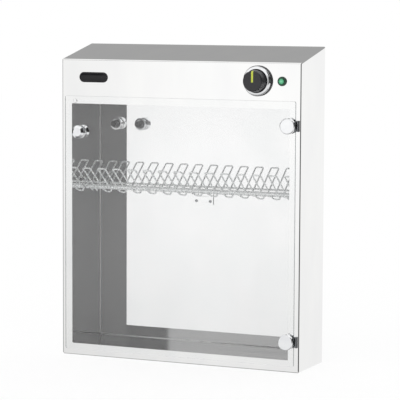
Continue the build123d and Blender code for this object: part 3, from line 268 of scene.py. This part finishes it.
# how far a surface faces straight to the front or back, in the piece's own directions: 0 on its edges, 1 on its
# faces, and between them where the normal's part along Y lies inside edgeTurn
edgeTurn = (0.45, 0.75)


def facingFront(tree):
    surface = addNode(tree, "ShaderNodeTexCoord")
    parts = addNode(tree, "ShaderNodeSeparateXYZ", given={0: surface.outputs["Normal"]})
    flatness = addNode(tree, "ShaderNodeMath", {"operation": "ABSOLUTE"}, {0: parts.outputs["Y"]})
    share = addNode(tree, "ShaderNodeMapRange",
                    given={"Value": flatness.outputs[0], "From Min": edgeTurn[0], "From Max": edgeTurn[1]})
    return share.outputs[0]


# gives CAD nodes a finish
def dress(material, *names):
    for name in names:
        mesh = nodes[name].data
        mesh.materials.clear()
        mesh.materials.append(material)


# sheet steel, 304 stainless
steelLook = {
    # mirror-polished case: it mirrors the room almost whole, and a faint rolled wave bends straight edges a little
    "case": {"tones": ("#F9F9F9", "#FDFDFC"), "rough": (0.03, 0.05), "grain": (60, 60, 140),
             "wave": (160, 0.03), "shader": {"Metallic": 1.0}},
    # mirror-polished chamber: sharper still, so rack and knob show again in the walls
    "liner": {"tones": ("#FBFBFB", "#FEFEFE"), "rough": (0.02, 0.03), "grain": (90, 90, 120),
              "wave": (140, 0.03), "shader": {"Metallic": 1.0}},
    # bright-rolled chamber floor: long light and dark streaks across it, drawn 4 mm wide to show
    "floor": {"tones": ("#D2D2D2", "#FCFCFC"), "rough": (0.008, 0.018), "grain": (420, 4, 4), "detail": 3.0,
              "wave": (150, 0.05), "shader": {"Metallic": 1.0}},
    # brushed back: a soft grey sheen with fine lines across, drawn 2.5 mm wide to show
    "satin": {"tones": ("#BFC0C0", "#D2D3D3"), "rough": (0.26, 0.36), "grain": (160, 2.5, 2.5), "detail": 4.0,
              "relief": (3.0, 0.01), "shader": {"Metallic": 1.0}},
}
mirrorCase = finish("mirrorPolishedStainlessCase", steelLook["case"])
mirrorLiner = finish("mirrorPolishedStainlessLiner", steelLook["liner"])
# the chamber's back is buffed less than its sides, so it lays a pale haze over what it mirrors
backHaze = {"metallic": 0.84, "rough": (0.016, 0.024)}
tree = mirrorLiner.node_tree
shader = tree.nodes["Principled BSDF"]
buffed = shader.inputs["Roughness"].links[0].from_node
face = facingFront(tree)
haze = addNode(tree, "ShaderNodeMapRange", given={"Value": face, "To Min": 1.0, "To Max": backHaze["metallic"]})
tree.links.new(haze.outputs[0], shader.inputs["Metallic"])
for socket, side, back in zip(("To Min", "To Max"), steelLook["liner"]["rough"], backHaze["rough"]):
    turned = addNode(tree, "ShaderNodeMapRange", given={"Value": face, "To Min": side, "To Max": back})
    tree.links.new(turned.outputs[0], buffed.inputs[socket])
rolledFloor = finish("rolledStainlessFloor", steelLook["floor"])
satinBack = finish("satinStainlessBack", steelLook["satin"])
dress(mirrorCase, "housing_shell")
dress(mirrorLiner, "chamber_liner", "chamber_top")
dress(rolledFloor, "chamber_floor")
dress(satinBack, "back_panel")
print("sheet steel finished")

# rack, hinges and fastenings
barLook = {
    # electropolished stainless wire: pale and bright, with soft-edged reflections on a slightly rippled skin
    "wire": {"tones": ("#E0E2E2", "#EEEFEF"), "rough": (0.22, 0.32), "grain": (4, 4, 4),
             "relief": (2.5, 0.01), "shader": {"Metallic": 0.5}},
    # spot-weld bead: paler and duller than the wire, with a pebbled skin
    "weld": {"tones": ("#D8D9D9", "#EAEAEA"), "rough": (0.36, 0.5), "grain": (1.5, 1.5, 1.5),
             "relief": (0.8, 0.03), "shader": {"Metallic": 0.6}},
    # polished stainless plate: small hard mirror images
    "plate": {"tones": ("#F8F8F8", "#FDFDFD"), "rough": (0.03, 0.06), "grain": (30, 4, 4),
              "shader": {"Metallic": 1.0}},
    # brushed stainless hinge strip with painted shade: toned dark grey beside the polished sheet for the shadow by
    # the hinge caps, with lines up and down, drawn 3 mm wide
    "hinge": {"tones": ("#808285", "#929497"), "rough": (0.14, 0.24), "grain": (3, 3, 40), "detail": 3.0,
              "relief": (2.0, 0.004), "shader": {"Metallic": 1.0}},
    # thread-rolled stainless screws: middle grey with a blurred shine
    "screw": {"tones": ("#B9BBBD", "#CFD0D1"), "rough": (0.18, 0.30), "grain": (1.5, 1.5, 1.5),
              "relief": (1.2, 0.01), "shader": {"Metallic": 1.0}},
    # zinc-plated steel: cold blue-grey, clouded and half matt
    "zinc": {"tones": ("#AEB3B8", "#C6CACC"), "rough": (0.28, 0.42), "grain": (5, 5, 5), "detail": 4.0,
             "relief": (2.0, 0.02), "shader": {"Metallic": 1.0}},
    # blued spring steel: dark grey with a dull shine
    "spring": {"tones": ("#5E5F62", "#77787A"), "rough": (0.25, 0.38), "grain": (2, 2, 8),
               "relief": (1.5, 0.01), "shader": {"Metallic": 1.0}},
    # ground steel bar: smooth light grey with faint rings round it
    "shaft": {"tones": ("#B4B5B6", "#C8C8C8"), "rough": (0.2, 0.3), "grain": (8, 1, 8),
              "relief": (1.0, 0.01), "shader": {"Metallic": 1.0}},
}
brightWire = finish("electropolishedWire", barLook["wire"])
brightPlate = finish("polishedStainlessPlate", barLook["plate"])
# the hinge strip's dark grey tone is painted shade
hingeSteelPaintedShade = finish("brushedHingeStainlessPaintedShade", barLook["hinge"])
screwSteel = finish("rolledThreadStainless", barLook["screw"])
zincSteel = finish("zincPlatedSteel", barLook["zinc"])
springSteel = finish("blueSpringSteel", barLook["spring"])
shaftSteel = finish("groundSteelShaft", barLook["shaft"])
dress(brightWire, "rack_wire", "rack_rods")
dress(brightPlate, "rack_end_brackets", "rack_centre_bracket", "interlock_plunger")
dress(hingeSteelPaintedShade, "hinge_frame_leaves", "hinge_door_leaves")
dress(screwSteel, "back_panel_screws", "rack_screws", "rack_rivets", "hinge_rivets", "cap_screws", "door_knob_stud")
dress(zincSteel, "ballast_screws", "interlock_bracket", "timer_nut")
dress(springSteel, "pilot_lamp_clip")
dress(shaftSteel, "timer_shaft", "hinge_pins")
print("rack and hinges finished")

# bright trim and the lamp's metal parts
trimLook = {
    # chrome plate over turned brass: nearly white, with hard dark reflections
    "chrome": {"tones": ("#F3F4F6", "#F9FAFB"), "rough": (0.02, 0.04), "grain": (12, 12, 12),
               "shader": {"Metallic": 1.0}},
    # drawn brass: warm yellow, with fine lines along the draw
    "brass": {"tones": ("#C29A4C", "#D8B566"), "rough": (0.18, 0.3), "grain": (6, 1, 1),
              "relief": (1.0, 0.01), "shader": {"Metallic": 1.0}},
    # bright-rolled aluminium: a soft pale mirror, with lines along the tube drawn 3 mm wide
    "reflector": {"tones": ("#DDE0E2", "#ECEEEF"), "rough": (0.10, 0.18), "grain": (200, 3, 3), "detail": 3.0,
                  "relief": (3.0, 0.006), "shader": {"Metallic": 1.0}},
    # pressed aluminium cap: light grey with a blurred shine
    "cap": {"tones": ("#CFD2D4", "#DEE0E2"), "rough": (0.2, 0.3), "grain": (8, 2, 2),
            "relief": (1.5, 0.01), "shader": {"Metallic": 1.0}},
}
chrome = finish("chromePlatedBrass", trimLook["chrome"])
brass = finish("drawnBrass", trimLook["brass"])
reflector = finish("brightRolledAluminium", trimLook["reflector"])
pressedCap = finish("pressedAluminiumCap", trimLook["cap"])
dress(chrome, "hinge_caps", "hinge_cap_bases", "door_knob", "knob_trim_ring")
dress(brass, "lamp_pins", "earth_stud")
dress(reflector, "lamp_reflector")
dress(pressedCap, "lamp_end_caps")
print("bright trim finished")

# plastics, varnish and enamel
plasticLook = {
    # moulded ABS with a light spark texture: near black with a soft grey sheen
    "knob": {"tones": ("#232326", "#2B2B2E"), "rough": (0.30, 0.42), "grain": (2, 2, 2),
             "relief": (1.6, 0.03), "shader": {"IOR": 1.53}},
    # moulded nylon: near black, waxy and duller
    "nylon": {"tones": ("#17171A", "#222225"), "rough": (0.38, 0.5), "grain": (3, 3, 3),
              "relief": (2.0, 0.03), "shader": {"IOR": 1.53}},
    # pressed phenolic resin: brown-black, clouded by its wood flour
    "phenolic": {"tones": ("#211C19", "#2B2521"), "rough": (0.3, 0.42), "grain": (4, 4, 4), "detail": 4.0,
                 "relief": (3.0, 0.02), "shader": {"IOR": 1.6}},
    # moulded polycarbonate: warm white, half matt
    "white": {"tones": ("#E6E5DF", "#EFEEE9"), "rough": (0.34, 0.46), "grain": (6, 6, 6),
              "relief": (2.0, 0.02), "shader": {"IOR": 1.58}},
    # unfilled polyamide: milky, light goes a little way in
    "milky": {"tones": ("#DAD8CE", "#E6E4DC"), "rough": (0.4, 0.5), "grain": (4, 4, 4),
              "relief": (2.0, 0.02), "shader": {"IOR": 1.53, "Subsurface Weight": 0.1}},
    # stacked iron sheets dipped in varnish: dark grey stripes under a wet film, drawn 1.5 mm wide
    "varnish": {"tones": ("#4B4C50", "#66676A"), "rough": (0.25, 0.45), "grain": (1.5, 60, 60), "detail": 2.0,
                "relief": (1.5, 0.05), "shader": {"IOR": 1.5, "Coat Weight": 0.5, "Coat Roughness": 0.15}},
    # cast acrylic inlay: clean lime green, glossy
    "lime": {"tones": ("#B9C52F", "#CCD65A"), "rough": (0.22, 0.3), "grain": (3, 3, 6),
             "shader": {"IOR": 1.49}},
    # enamel under a clear dome: near black and glassy, with its reflections as weak as on the badge
    "badge": {"tones": ("#19191B", "#202022"), "rough": (0.08, 0.14), "grain": (10, 10, 10),
              "relief": (6.0, 0.01), "shader": {"IOR": 1.36}},
}
knobPlastic = finish("mouldedBlackAbs", plasticLook["knob"])
nylon = finish("blackNylon", plasticLook["nylon"])
phenolic = finish("brownBlackPhenolic", plasticLook["phenolic"])
whitePlastic = finish("whitePolycarbonate", plasticLook["white"])
milkyPlastic = finish("milkyPolyamide", plasticLook["milky"])
varnish = finish("varnishedLaminations", plasticLook["varnish"])
lime = finish("limeAcrylicInlay", plasticLook["lime"])
badgeEnamel = finish("blackEnamelUnderClearDome", plasticLook["badge"])
dress(knobPlastic, "timer_knob")
dress(nylon, "cable_gland", "gland_locknut", "pilot_lamp_body", "door_knob_nut")
dress(phenolic, "timer_body", "interlock_switch")
dress(whitePlastic, "lamp_holders", "lamp_holder_rotors", "starter_holder", "starter")
dress(milkyPlastic, "terminal_block")
dress(varnish, "ballast")
dress(lime, "knob_pointer")
dress(badgeEnamel, "badge_plate")

# the pilot lamp's lens, moulded polycarbonate: green and glossy, with painted light: lighter in the middle as if lit
# through by the glow tube, fading out to a dark green collar
lensLook = {"middle": (0.214, 0.552), "radius": 0.009, "IOR": 1.58, "Roughness": 0.06,
            "rings": [(0.0, "#8FE0B4"), (0.34, "#5FBE8C"), (0.56, "#3E9A6C"), (0.62, "#0A3020"), (0.72, "#124A32"),
                      (1.0, "#06241A")]}
lensPaintedGlow = bpy.data.materials.new("greenPolycarbonateLensPaintedGlow")
lensPaintedGlow.use_nodes = True
tree = lensPaintedGlow.node_tree
shader = tree.nodes["Principled BSDF"]
for socket in ("IOR", "Roughness"):
    shader.inputs[socket].default_value = lensLook[socket]
place = addNode(tree, "ShaderNodeTexCoord")
middle = (-lensLook["middle"][0], 0.0, -lensLook["middle"][1])
centred = addNode(tree, "ShaderNodeMapping",
                  given={"Vector": place.outputs["Object"], "Location": middle, "Scale": (1.0, 0.0, 1.0)})
away = addNode(tree, "ShaderNodeVectorMath", {"operation": "LENGTH"}, {0: centred.outputs[0]})
share = addNode(tree, "ShaderNodeMapRange", given={"Value": away.outputs["Value"], "From Max": lensLook["radius"]})
# the rings paint the glow: light green in the middle, darker green outwards, then the dark collar
rings = addNode(tree, "ShaderNodeValToRGB", given={"Fac": share.outputs[0]})
fillRamp(rings, [(ring, hexColour(tone)) for ring, tone in lensLook["rings"]])
tree.links.new(rings.outputs[0], shader.inputs["Base Color"])
dress(lensPaintedGlow, "pilot_lamp_lens")
print("plastics finished")


# clear sheet or tube: both faces mirror a little, and light on its way from the pieces inside goes straight through
def clearFinish(name, look):
    made = finish(name, look)
    tree = made.node_tree
    shader = tree.nodes["Principled BSDF"]
    shader.inputs["Transmission Weight"].default_value = 1.0
    ways = addNode(tree, "ShaderNodeLightPath")
    seen = addNode(tree, "ShaderNodeMath", {"operation": "MAXIMUM"},
                   {0: ways.outputs["Is Camera Ray"], 1: ways.outputs["Is Transmission Ray"]})
    passing = addNode(tree, "ShaderNodeBsdfTransparent")
    both = addNode(tree, "ShaderNodeMixShader",
                   given={0: seen.outputs[0], 1: passing.outputs[0], 2: shader.outputs[0]})
    tree.links.new(both.outputs[0], tree.nodes["Material Output"].inputs["Surface"])
    return made


clearLook = {
    # cast acrylic: colourless, with reflections matched to the door's, which are weaker than a plain sheet's
    "acrylic": {"tones": ("#FCFDFD", "#FFFFFF"), "rough": (0.0, 0.004), "grain": (80, 80, 80),
                "shader": {"IOR": 1.2}},
    # drawn quartz glass: clear with a cold tint and sharp highlights along the tube
    "quartz": {"tones": ("#F6F8FC", "#FCFDFF"), "rough": (0.0, 0.01), "grain": (80, 30, 30),
               "shader": {"IOR": 1.46}},
}
acrylic = clearFinish("clearCastAcrylic", clearLook["acrylic"])
# the sawn edge scatters light: where the surface faces sideways it is satin and grey
sawnEdge = {"colour": "#949A9A", "Roughness": (0.4, 0.002), "Transmission Weight": (0.45, 1.0)}
tree = acrylic.node_tree
shader = tree.nodes["Principled BSDF"]
face = facingFront(tree)
tones = addNode(tree, "ShaderNodeMix", {"data_type": "RGBA"},
                {0: face, 6: hexColour(sawnEdge["colour"]), 7: shader.inputs["Base Color"].links[0].from_socket})
tree.links.new(tones.outputs[2], shader.inputs["Base Color"])
for socket in ("Roughness", "Transmission Weight"):
    edge, sheet = sawnEdge[socket]
    turned = addNode(tree, "ShaderNodeMapRange", given={"Value": face, "To Min": edge, "To Max": sheet})
    tree.links.new(turned.outputs[0], shader.inputs[socket])
quartz = clearFinish("fusedQuartzTube", clearLook["quartz"])
dress(acrylic, "door_pane")
dress(quartz, "uv_lamp_tube")
print("clear pieces finished")

# points closer together than this many metres become one, so that a pole is a single point
sameSpot = 1e-6


# pieces worked out as grids of points: rows run along the shape, columns go round it and meet again
# points has the shape (copies, rows, columns, 3), in metres; each copy starts and ends in a pole or closes on itself
def makePiece(name, points, material, body):
    copies, rows, columns = points.shape[:3]
    copy, row, column = np.meshgrid(np.arange(copies), np.arange(rows - 1), np.arange(columns), indexing="ij")
    here = (copy * rows + row) * columns
    beside = (column + 1) % columns
    faces = np.stack([here + column, here + beside, here + columns + beside, here + columns + column], axis=-1)
    mesh = bpy.data.meshes.new(name)
    mesh.from_pydata(points.reshape(-1, 3).tolist(), [], faces.reshape(-1, 4).tolist())
    shaped = bmesh.new()
    shaped.from_mesh(mesh)
    bmesh.ops.remove_doubles(shaped, verts=shaped.verts, dist=sameSpot)
    bmesh.ops.recalc_face_normals(shaped, faces=shaped.faces)
    shaped.to_mesh(mesh)
    shaped.free()
    mesh.polygons.foreach_set("use_smooth", np.ones(len(mesh.polygons), dtype=bool))
    mesh.materials.append(material)
    piece = bpy.data.objects.new(name, mesh)
    bpy.context.scene.collection.objects.link(piece)
    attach(piece, body)
    return piece


# closes a run of rings with a pole at each end: the middle of its first and of its last ring
def withPoles(rings):
    first = np.broadcast_to(rings[:, :1].mean(axis=2, keepdims=True), rings[:, :1].shape)
    last = np.broadcast_to(rings[:, -1:].mean(axis=2, keepdims=True), rings[:, -1:].shape)
    return np.concatenate([first, rings, last], axis=1)


# a round wire along paths: point = path + radius * (cos a * side + sin a * up), where side is across the path
# and the given guide direction, and up is across both
def wireAlong(paths, radius, guide, columns):
    ahead = np.gradient(paths, axis=1)
    ahead /= np.linalg.norm(ahead, axis=-1, keepdims=True)
    side = np.cross(ahead, guide)
    side /= np.linalg.norm(side, axis=-1, keepdims=True)
    up = np.cross(side, ahead)
    angle = np.linspace(0, 2 * np.pi, columns, endpoint=False)[:, None]
    return paths[:, :, None] + radius * (np.cos(angle) * side[:, :, None] + np.sin(angle) * up[:, :, None])


# the welds of the rack: a low bead where each leg of the zigzag wire crosses a rod
# bead = middle + (long * sin t * cos a) across + (wide * sin t * sin a) down the slope + (thick * cos t) above it
welds = {"legs": 28, "firstLeg": -0.2241, "lastLeg": 0.2241, "top": (-0.02898, 0.370), "slope": 38.3,
         "rods": [(0.076, 0.0015), (0.060, -0.0015)], "long": 0.0025, "wide": 0.0021, "thick": 0.0011,
         "rows": 9, "around": 14}
slope = math.radians(welds["slope"])
alongRods = np.array([1.0, 0.0, 0.0])
downSlope = np.array([0.0, math.cos(slope), -math.sin(slope)])
aboveSlope = np.array([0.0, math.sin(slope), math.cos(slope)])
legPlaces = np.linspace(welds["firstLeg"], welds["lastLeg"], welds["legs"])
legs, rods = np.meshgrid(legPlaces, np.arange(len(welds["rods"])), indexing="ij")
crossings = np.array(welds["rods"])[rods.ravel()]
middles = (np.array([0.0, *welds["top"]]) + legs.reshape(-1, 1) * alongRods
           + crossings[:, :1] * downSlope + crossings[:, 1:] * aboveSlope)
tilt, around = np.meshgrid(np.linspace(0, np.pi, welds["rows"]),
                           np.linspace(0, 2 * np.pi, welds["around"], endpoint=False), indexing="ij")
bead = (welds["long"] * (np.sin(tilt) * np.cos(around))[..., None] * alongRods
        + welds["wide"] * (np.sin(tilt) * np.sin(around))[..., None] * downSlope
        + welds["thick"] * np.cos(tilt)[..., None] * aboveSlope)
weldBead = finish("crossWireWeldBead", barLook["weld"])
makePiece("rackWelds", middles[:, None, None] + bead, weldBead, "cabinet")
print("rack welds made")

# polished weld seams in the chamber's corners: a hollow quarter circle between two walls
# profile = centre - radius * (cos a, sin a), and the corner itself a hair behind both walls
seams = {"radius": 0.0013, "behind": 0.00004, "side": 0.2305, "back": 0.060, "floor": 0.0235, "top": 0.5270,
         "steps": 9}
arc = np.linspace(0, np.pi / 2, seams["steps"])
inward = np.column_stack([1 - np.cos(arc), 1 - np.sin(arc)]) * seams["radius"]
inward = np.vstack([inward, [(seams["radius"], -seams["behind"]), (-seams["behind"], -seams["behind"]),
                             (-seams["behind"], seams["radius"])]])


# a seam from start to end, with the profile's two directions pointing away from the walls
def seamRun(start, end, first, second):
    ends = np.array([start, end], dtype=float)
    profile = inward[:, :1] * np.array(first, dtype=float) + inward[:, 1:] * np.array(second, dtype=float)
    return withPoles((ends[:, None] + profile[None])[None])


side, back, low = seams["side"], seams["back"], seams["floor"]
runs = [seamRun((-side, back, low), (-side, back, seams["top"]), (1, 0, 0), (0, -1, 0)),
        seamRun((side, back, low), (side, back, seams["top"]), (-1, 0, 0), (0, -1, 0)),
        seamRun((-side, back, low), (side, back, low), (0, -1, 0), (0, 0, 1))]
# weld metal ground and buffed by hand: soft and grey beside the sheets' mirror
seamLook = {"tones": ("#CFCFCF", "#DADADA"), "rough": (0.38, 0.46), "grain": (8, 8, 8), "relief": (3.0, 0.01),
            "shader": {"Metallic": 1.0}}
weldSeam = finish("polishedWeldSeam", seamLook)
makePiece("linerSeams", np.concatenate(runs), weldSeam, "cabinet")
print("chamber seams made")

# the badge's face: black enamel that stands up in a low dome
# outline = straight middle + (radius - d) * direction, height = rise * (1 - (1 - d / radius) ^ 2) ^ steepness
badge = {"middle": (-0.183, 0.552), "half": 0.0205, "radius": 0.0094, "rise": 0.0011, "steepness": 0.6,
         "around": 96, "rings": 14}
angle = np.linspace(0, 2 * np.pi, badge["around"], endpoint=False) + np.pi / badge["around"]
outward = np.column_stack([np.cos(angle), np.sin(angle)])
core = np.column_stack([badge["half"] * np.sign(np.cos(angle)), np.zeros_like(angle)])
# the first two rows are the middle and the edge of the flat back, which closes the dome
inset = np.concatenate([[1.0, 0.0], 1 - np.cos(np.linspace(0, np.pi / 2, badge["rings"]))])
rise = np.concatenate([[0.0, 0.0], badge["rise"] * (1 - (1 - inset[2:]) ** 2) ** badge["steepness"]])
flat = core[None] + badge["radius"] * (1 - inset)[:, None, None] * outward[None]
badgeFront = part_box("badge_plate")[0][1]
dome = np.stack([badge["middle"][0] + flat[..., 0], np.broadcast_to((badgeFront - rise)[:, None], flat.shape[:2]),
                 badge["middle"][1] + flat[..., 1]], axis=-1)
makePiece("badgeDome", dome[None], badgeEnamel, "cabinet")
print("badge made")

# the lens's face: a crown with moulded ribs that break up the lamp's glow
# height = crown * (1 - share ^ 2) + rib * share * (1 + cos(ribs * angle)), share = distance / radius
facets = {"middle": lensLook["middle"], "radius": 0.0056, "crown": 0.0010, "rib": 0.00022, "ribs": 12,
          "around": 96, "rings": 12}
# here too the first two rows are the middle and the edge of the flat back
share = np.concatenate([[0.0, 1.0], np.linspace(1, 0, facets["rings"])])[:, None]
angle = np.linspace(0, 2 * np.pi, facets["around"], endpoint=False)[None]
height = facets["crown"] * (1 - share ** 2) + facets["rib"] * share * (1 + np.cos(facets["ribs"] * angle))
height[:2] = 0.0
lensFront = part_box("pilot_lamp_lens")[0][1]
crown = np.stack([facets["middle"][0] + facets["radius"] * share * np.cos(angle), lensFront - height,
                  facets["middle"][1] + facets["radius"] * share * np.sin(angle)], axis=-1)
makePiece("pilotLensCrown", crown[None], lensPaintedGlow, "cabinet")
print("pilot lens made")

# the cathodes in the tube: a coil of wire between two bent leads at each end
# coil = (x + r * cos turn, y rising evenly, z + r * sin turn)
cathode = {"centre": (0.1905, 0.012, 0.509), "coil": 0.0009, "half": 0.0045, "turns": 11, "wire": 0.00022,
           "lead": 0.00635, "from": 0.2035, "samples": 264, "leadSteps": 24, "around": 7}
turnOf = np.linspace(0, 2 * np.pi * cathode["turns"], cathode["samples"])
rising = np.linspace(-cathode["half"], cathode["half"], cathode["samples"])
coil = np.column_stack([cathode["coil"] * np.cos(turnOf), rising, cathode["coil"] * np.sin(turnOf)])
lead = np.linspace(1, 0, cathode["leadSteps"], endpoint=False)[:, None]
reach, spread = cathode["from"] - cathode["centre"][0], cathode["lead"] - cathode["half"]
leadIn = coil[0] + lead * np.array([reach, -spread, 0.0])
leadOut = (coil[-1] + lead * np.array([reach, spread, 0.0]))[::-1]
path = np.vstack([leadIn, coil, leadOut])
centre = np.array(cathode["centre"])
paths = np.stack([centre + path, centre * (-1, 1, 1) + path * (-1, 1, 1)])
# tungsten coated with oxide: pale grey-brown and chalky
tungstenLook = {"tones": ("#8D8C88", "#C9C6BC"), "rough": (0.4, 0.6), "grain": (0.6, 0.6, 0.6),
                "relief": (0.3, 0.02), "shader": {"Metallic": 0.7}}
filaments = withPoles(wireAlong(paths, cathode["wire"], np.array([0.0, 1.0, 0.0]), cathode["around"]))
makePiece("lampCathodes", filaments, finish("coatedTungstenCoil", tungstenLook), "lamp")
print("lamp cathodes made")


# lathe shapes that stand in place of plain ones: point = middle + radius * (cos a, sin a) at each height of a profile
# of (radius, height) pairs in mm, heights from the node's back plane outwards
def turnedRings(node, look):
    lowest, highest = (np.array(corner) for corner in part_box(node))
    middle = (lowest + highest) / 2
    outline = np.array(look["profile"])[:, :, None] / 1000
    angle = np.linspace(0, 2 * np.pi, look["around"], endpoint=False)
    return np.stack([middle[0] + outline[:, 0] * np.cos(angle), highest[1] - outline[:, 1] + 0 * angle,
                     middle[2] + outline[:, 0] * np.sin(angle)], axis=-1)[None]


# the door knob: a coned foot, a waist, a groove round the grip and a broad bevel round a flat face
doorKnob = {"around": 96,
            "profile": [(2.55, 16.3), (2.55, 0.0), (12.6, 0.0), (13.0, 0.3), (12.7, 0.8), (12.2, 1.3), (9.8, 3.7),
                        (9.2, 4.4), (8.75, 5.6), (8.6, 7.2), (8.6, 9.0), (8.9, 10.4), (9.8, 11.9), (11.2, 12.9),
                        (12.5, 13.4), (12.9, 13.7), (13.0, 14.1), (13.0, 15.0), (12.4, 15.3), (12.4, 15.8),
                        (13.0, 16.1), (13.0, 18.0), (13.0, 23.7), (12.85, 24.3), (12.6, 24.7), (12.2, 25.1),
                        (9.0, 27.8), (8.7, 28.05), (8.4, 28.35), (8.1, 28.4), (7.8, 28.4), (1.0, 28.4)]}
turnedKnob = withPoles(turnedRings("door_knob", doorKnob))
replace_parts(makePiece("turnedDoorKnob", turnedKnob, chrome, "door"), "door_knob")
# the ring round the timer's knob: a shallow cone that rolls over into a round outer edge
trimRing = {"around": 128,
            "profile": [(22.7, 0.0), (27.9, 0.0), (27.9, 1.3), (27.85, 2.0), (27.65, 2.8), (27.3, 3.5), (26.8, 4.1),
                        (26.2, 4.5), (25.6, 4.78), (25.0, 4.98), (24.2, 5.2), (23.4, 5.42), (23.0, 5.55),
                        (22.8, 5.6), (22.7, 5.5), (22.7, 0.0)]}
rolledRing = turnedRings("knob_trim_ring", trimRing)
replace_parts(makePiece("rolledTrimRing", rolledRing, chrome, "timer_knob"), "knob_trim_ring")
print("door knob and trim ring turned")

# screws with a cross recess in place of the plain ones
# height of the head = rim + dome * (1 - share ^ 2), less the recess where the point lies in one arm of the cross;
# cone is how deep a countersunk head narrows to its shank, and out says whether the head looks to the back or front
screws = {
    "back": {"stands": "back_panel_screws", "head": 0.0031, "cone": 0.0011, "rim": 0.0, "dome": 0.0,
             "shank": 0.002, "length": 0.008, "seat": 0.062, "out": 1,
             "places": [(-0.2453, 0.0072), (-0.2453, 0.3069), (-0.2453, 0.6066), (0.2453, 0.0072),
                        (0.2453, 0.3069), (0.2453, 0.6066), (0.0, 0.0072), (0.0, 0.6066)]},
    "rack": {"stands": "rack_screws", "head": 0.0029, "cone": 0.0, "rim": 0.0009, "dome": 0.0009,
             "shank": 0.0015, "length": 0.004, "seat": 0.058, "out": -1,
             "places": [(-0.015, 0.3061), (0.015, 0.3061)]},
}
recess = {"arm": 0.14, "reach": 0.62, "depth": 0.0009, "soft": 0.05, "around": 72, "rings": 26}
for name, look in screws.items():
    around = np.linspace(0, 2 * np.pi, recess["around"], endpoint=False)[None]
    share = np.linspace(0, 1, recess["rings"])[:, None]
    narrow, broad = np.sort(np.abs(np.stack([share * np.cos(around), share * np.sin(around)])), axis=0)
    inside = (np.clip((recess["arm"] - narrow) / recess["soft"], 0, 1)
              * np.clip((recess["reach"] - broad) / recess["soft"], 0, 1))
    top = look["dome"] * (1 - share ** 2) + look["rim"] - recess["depth"] * inside
    radii = look["head"] * share * np.ones_like(around)
    below = [(look["head"], 0.0)] if look["rim"] else []
    below += [(look["shank"], -look["cone"]), (look["shank"], -look["length"]), (0.0, -look["length"])]
    radii = np.vstack([radii, [[radius] * around.size for radius, depth in below]])
    heights = np.vstack([top, [[depth] * around.size for radius, depth in below]])
    placeX, placeZ = (place[:, None, None] for place in np.array(look["places"]).T)
    points = np.stack([placeX + radii * np.cos(around), look["seat"] + look["out"] * heights + 0 * placeX,
                       placeZ + radii * np.sin(around)], axis=-1)
    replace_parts(makePiece(name + "CrossScrews", points, screwSteel, "cabinet"), look["stands"])
print("screws made")
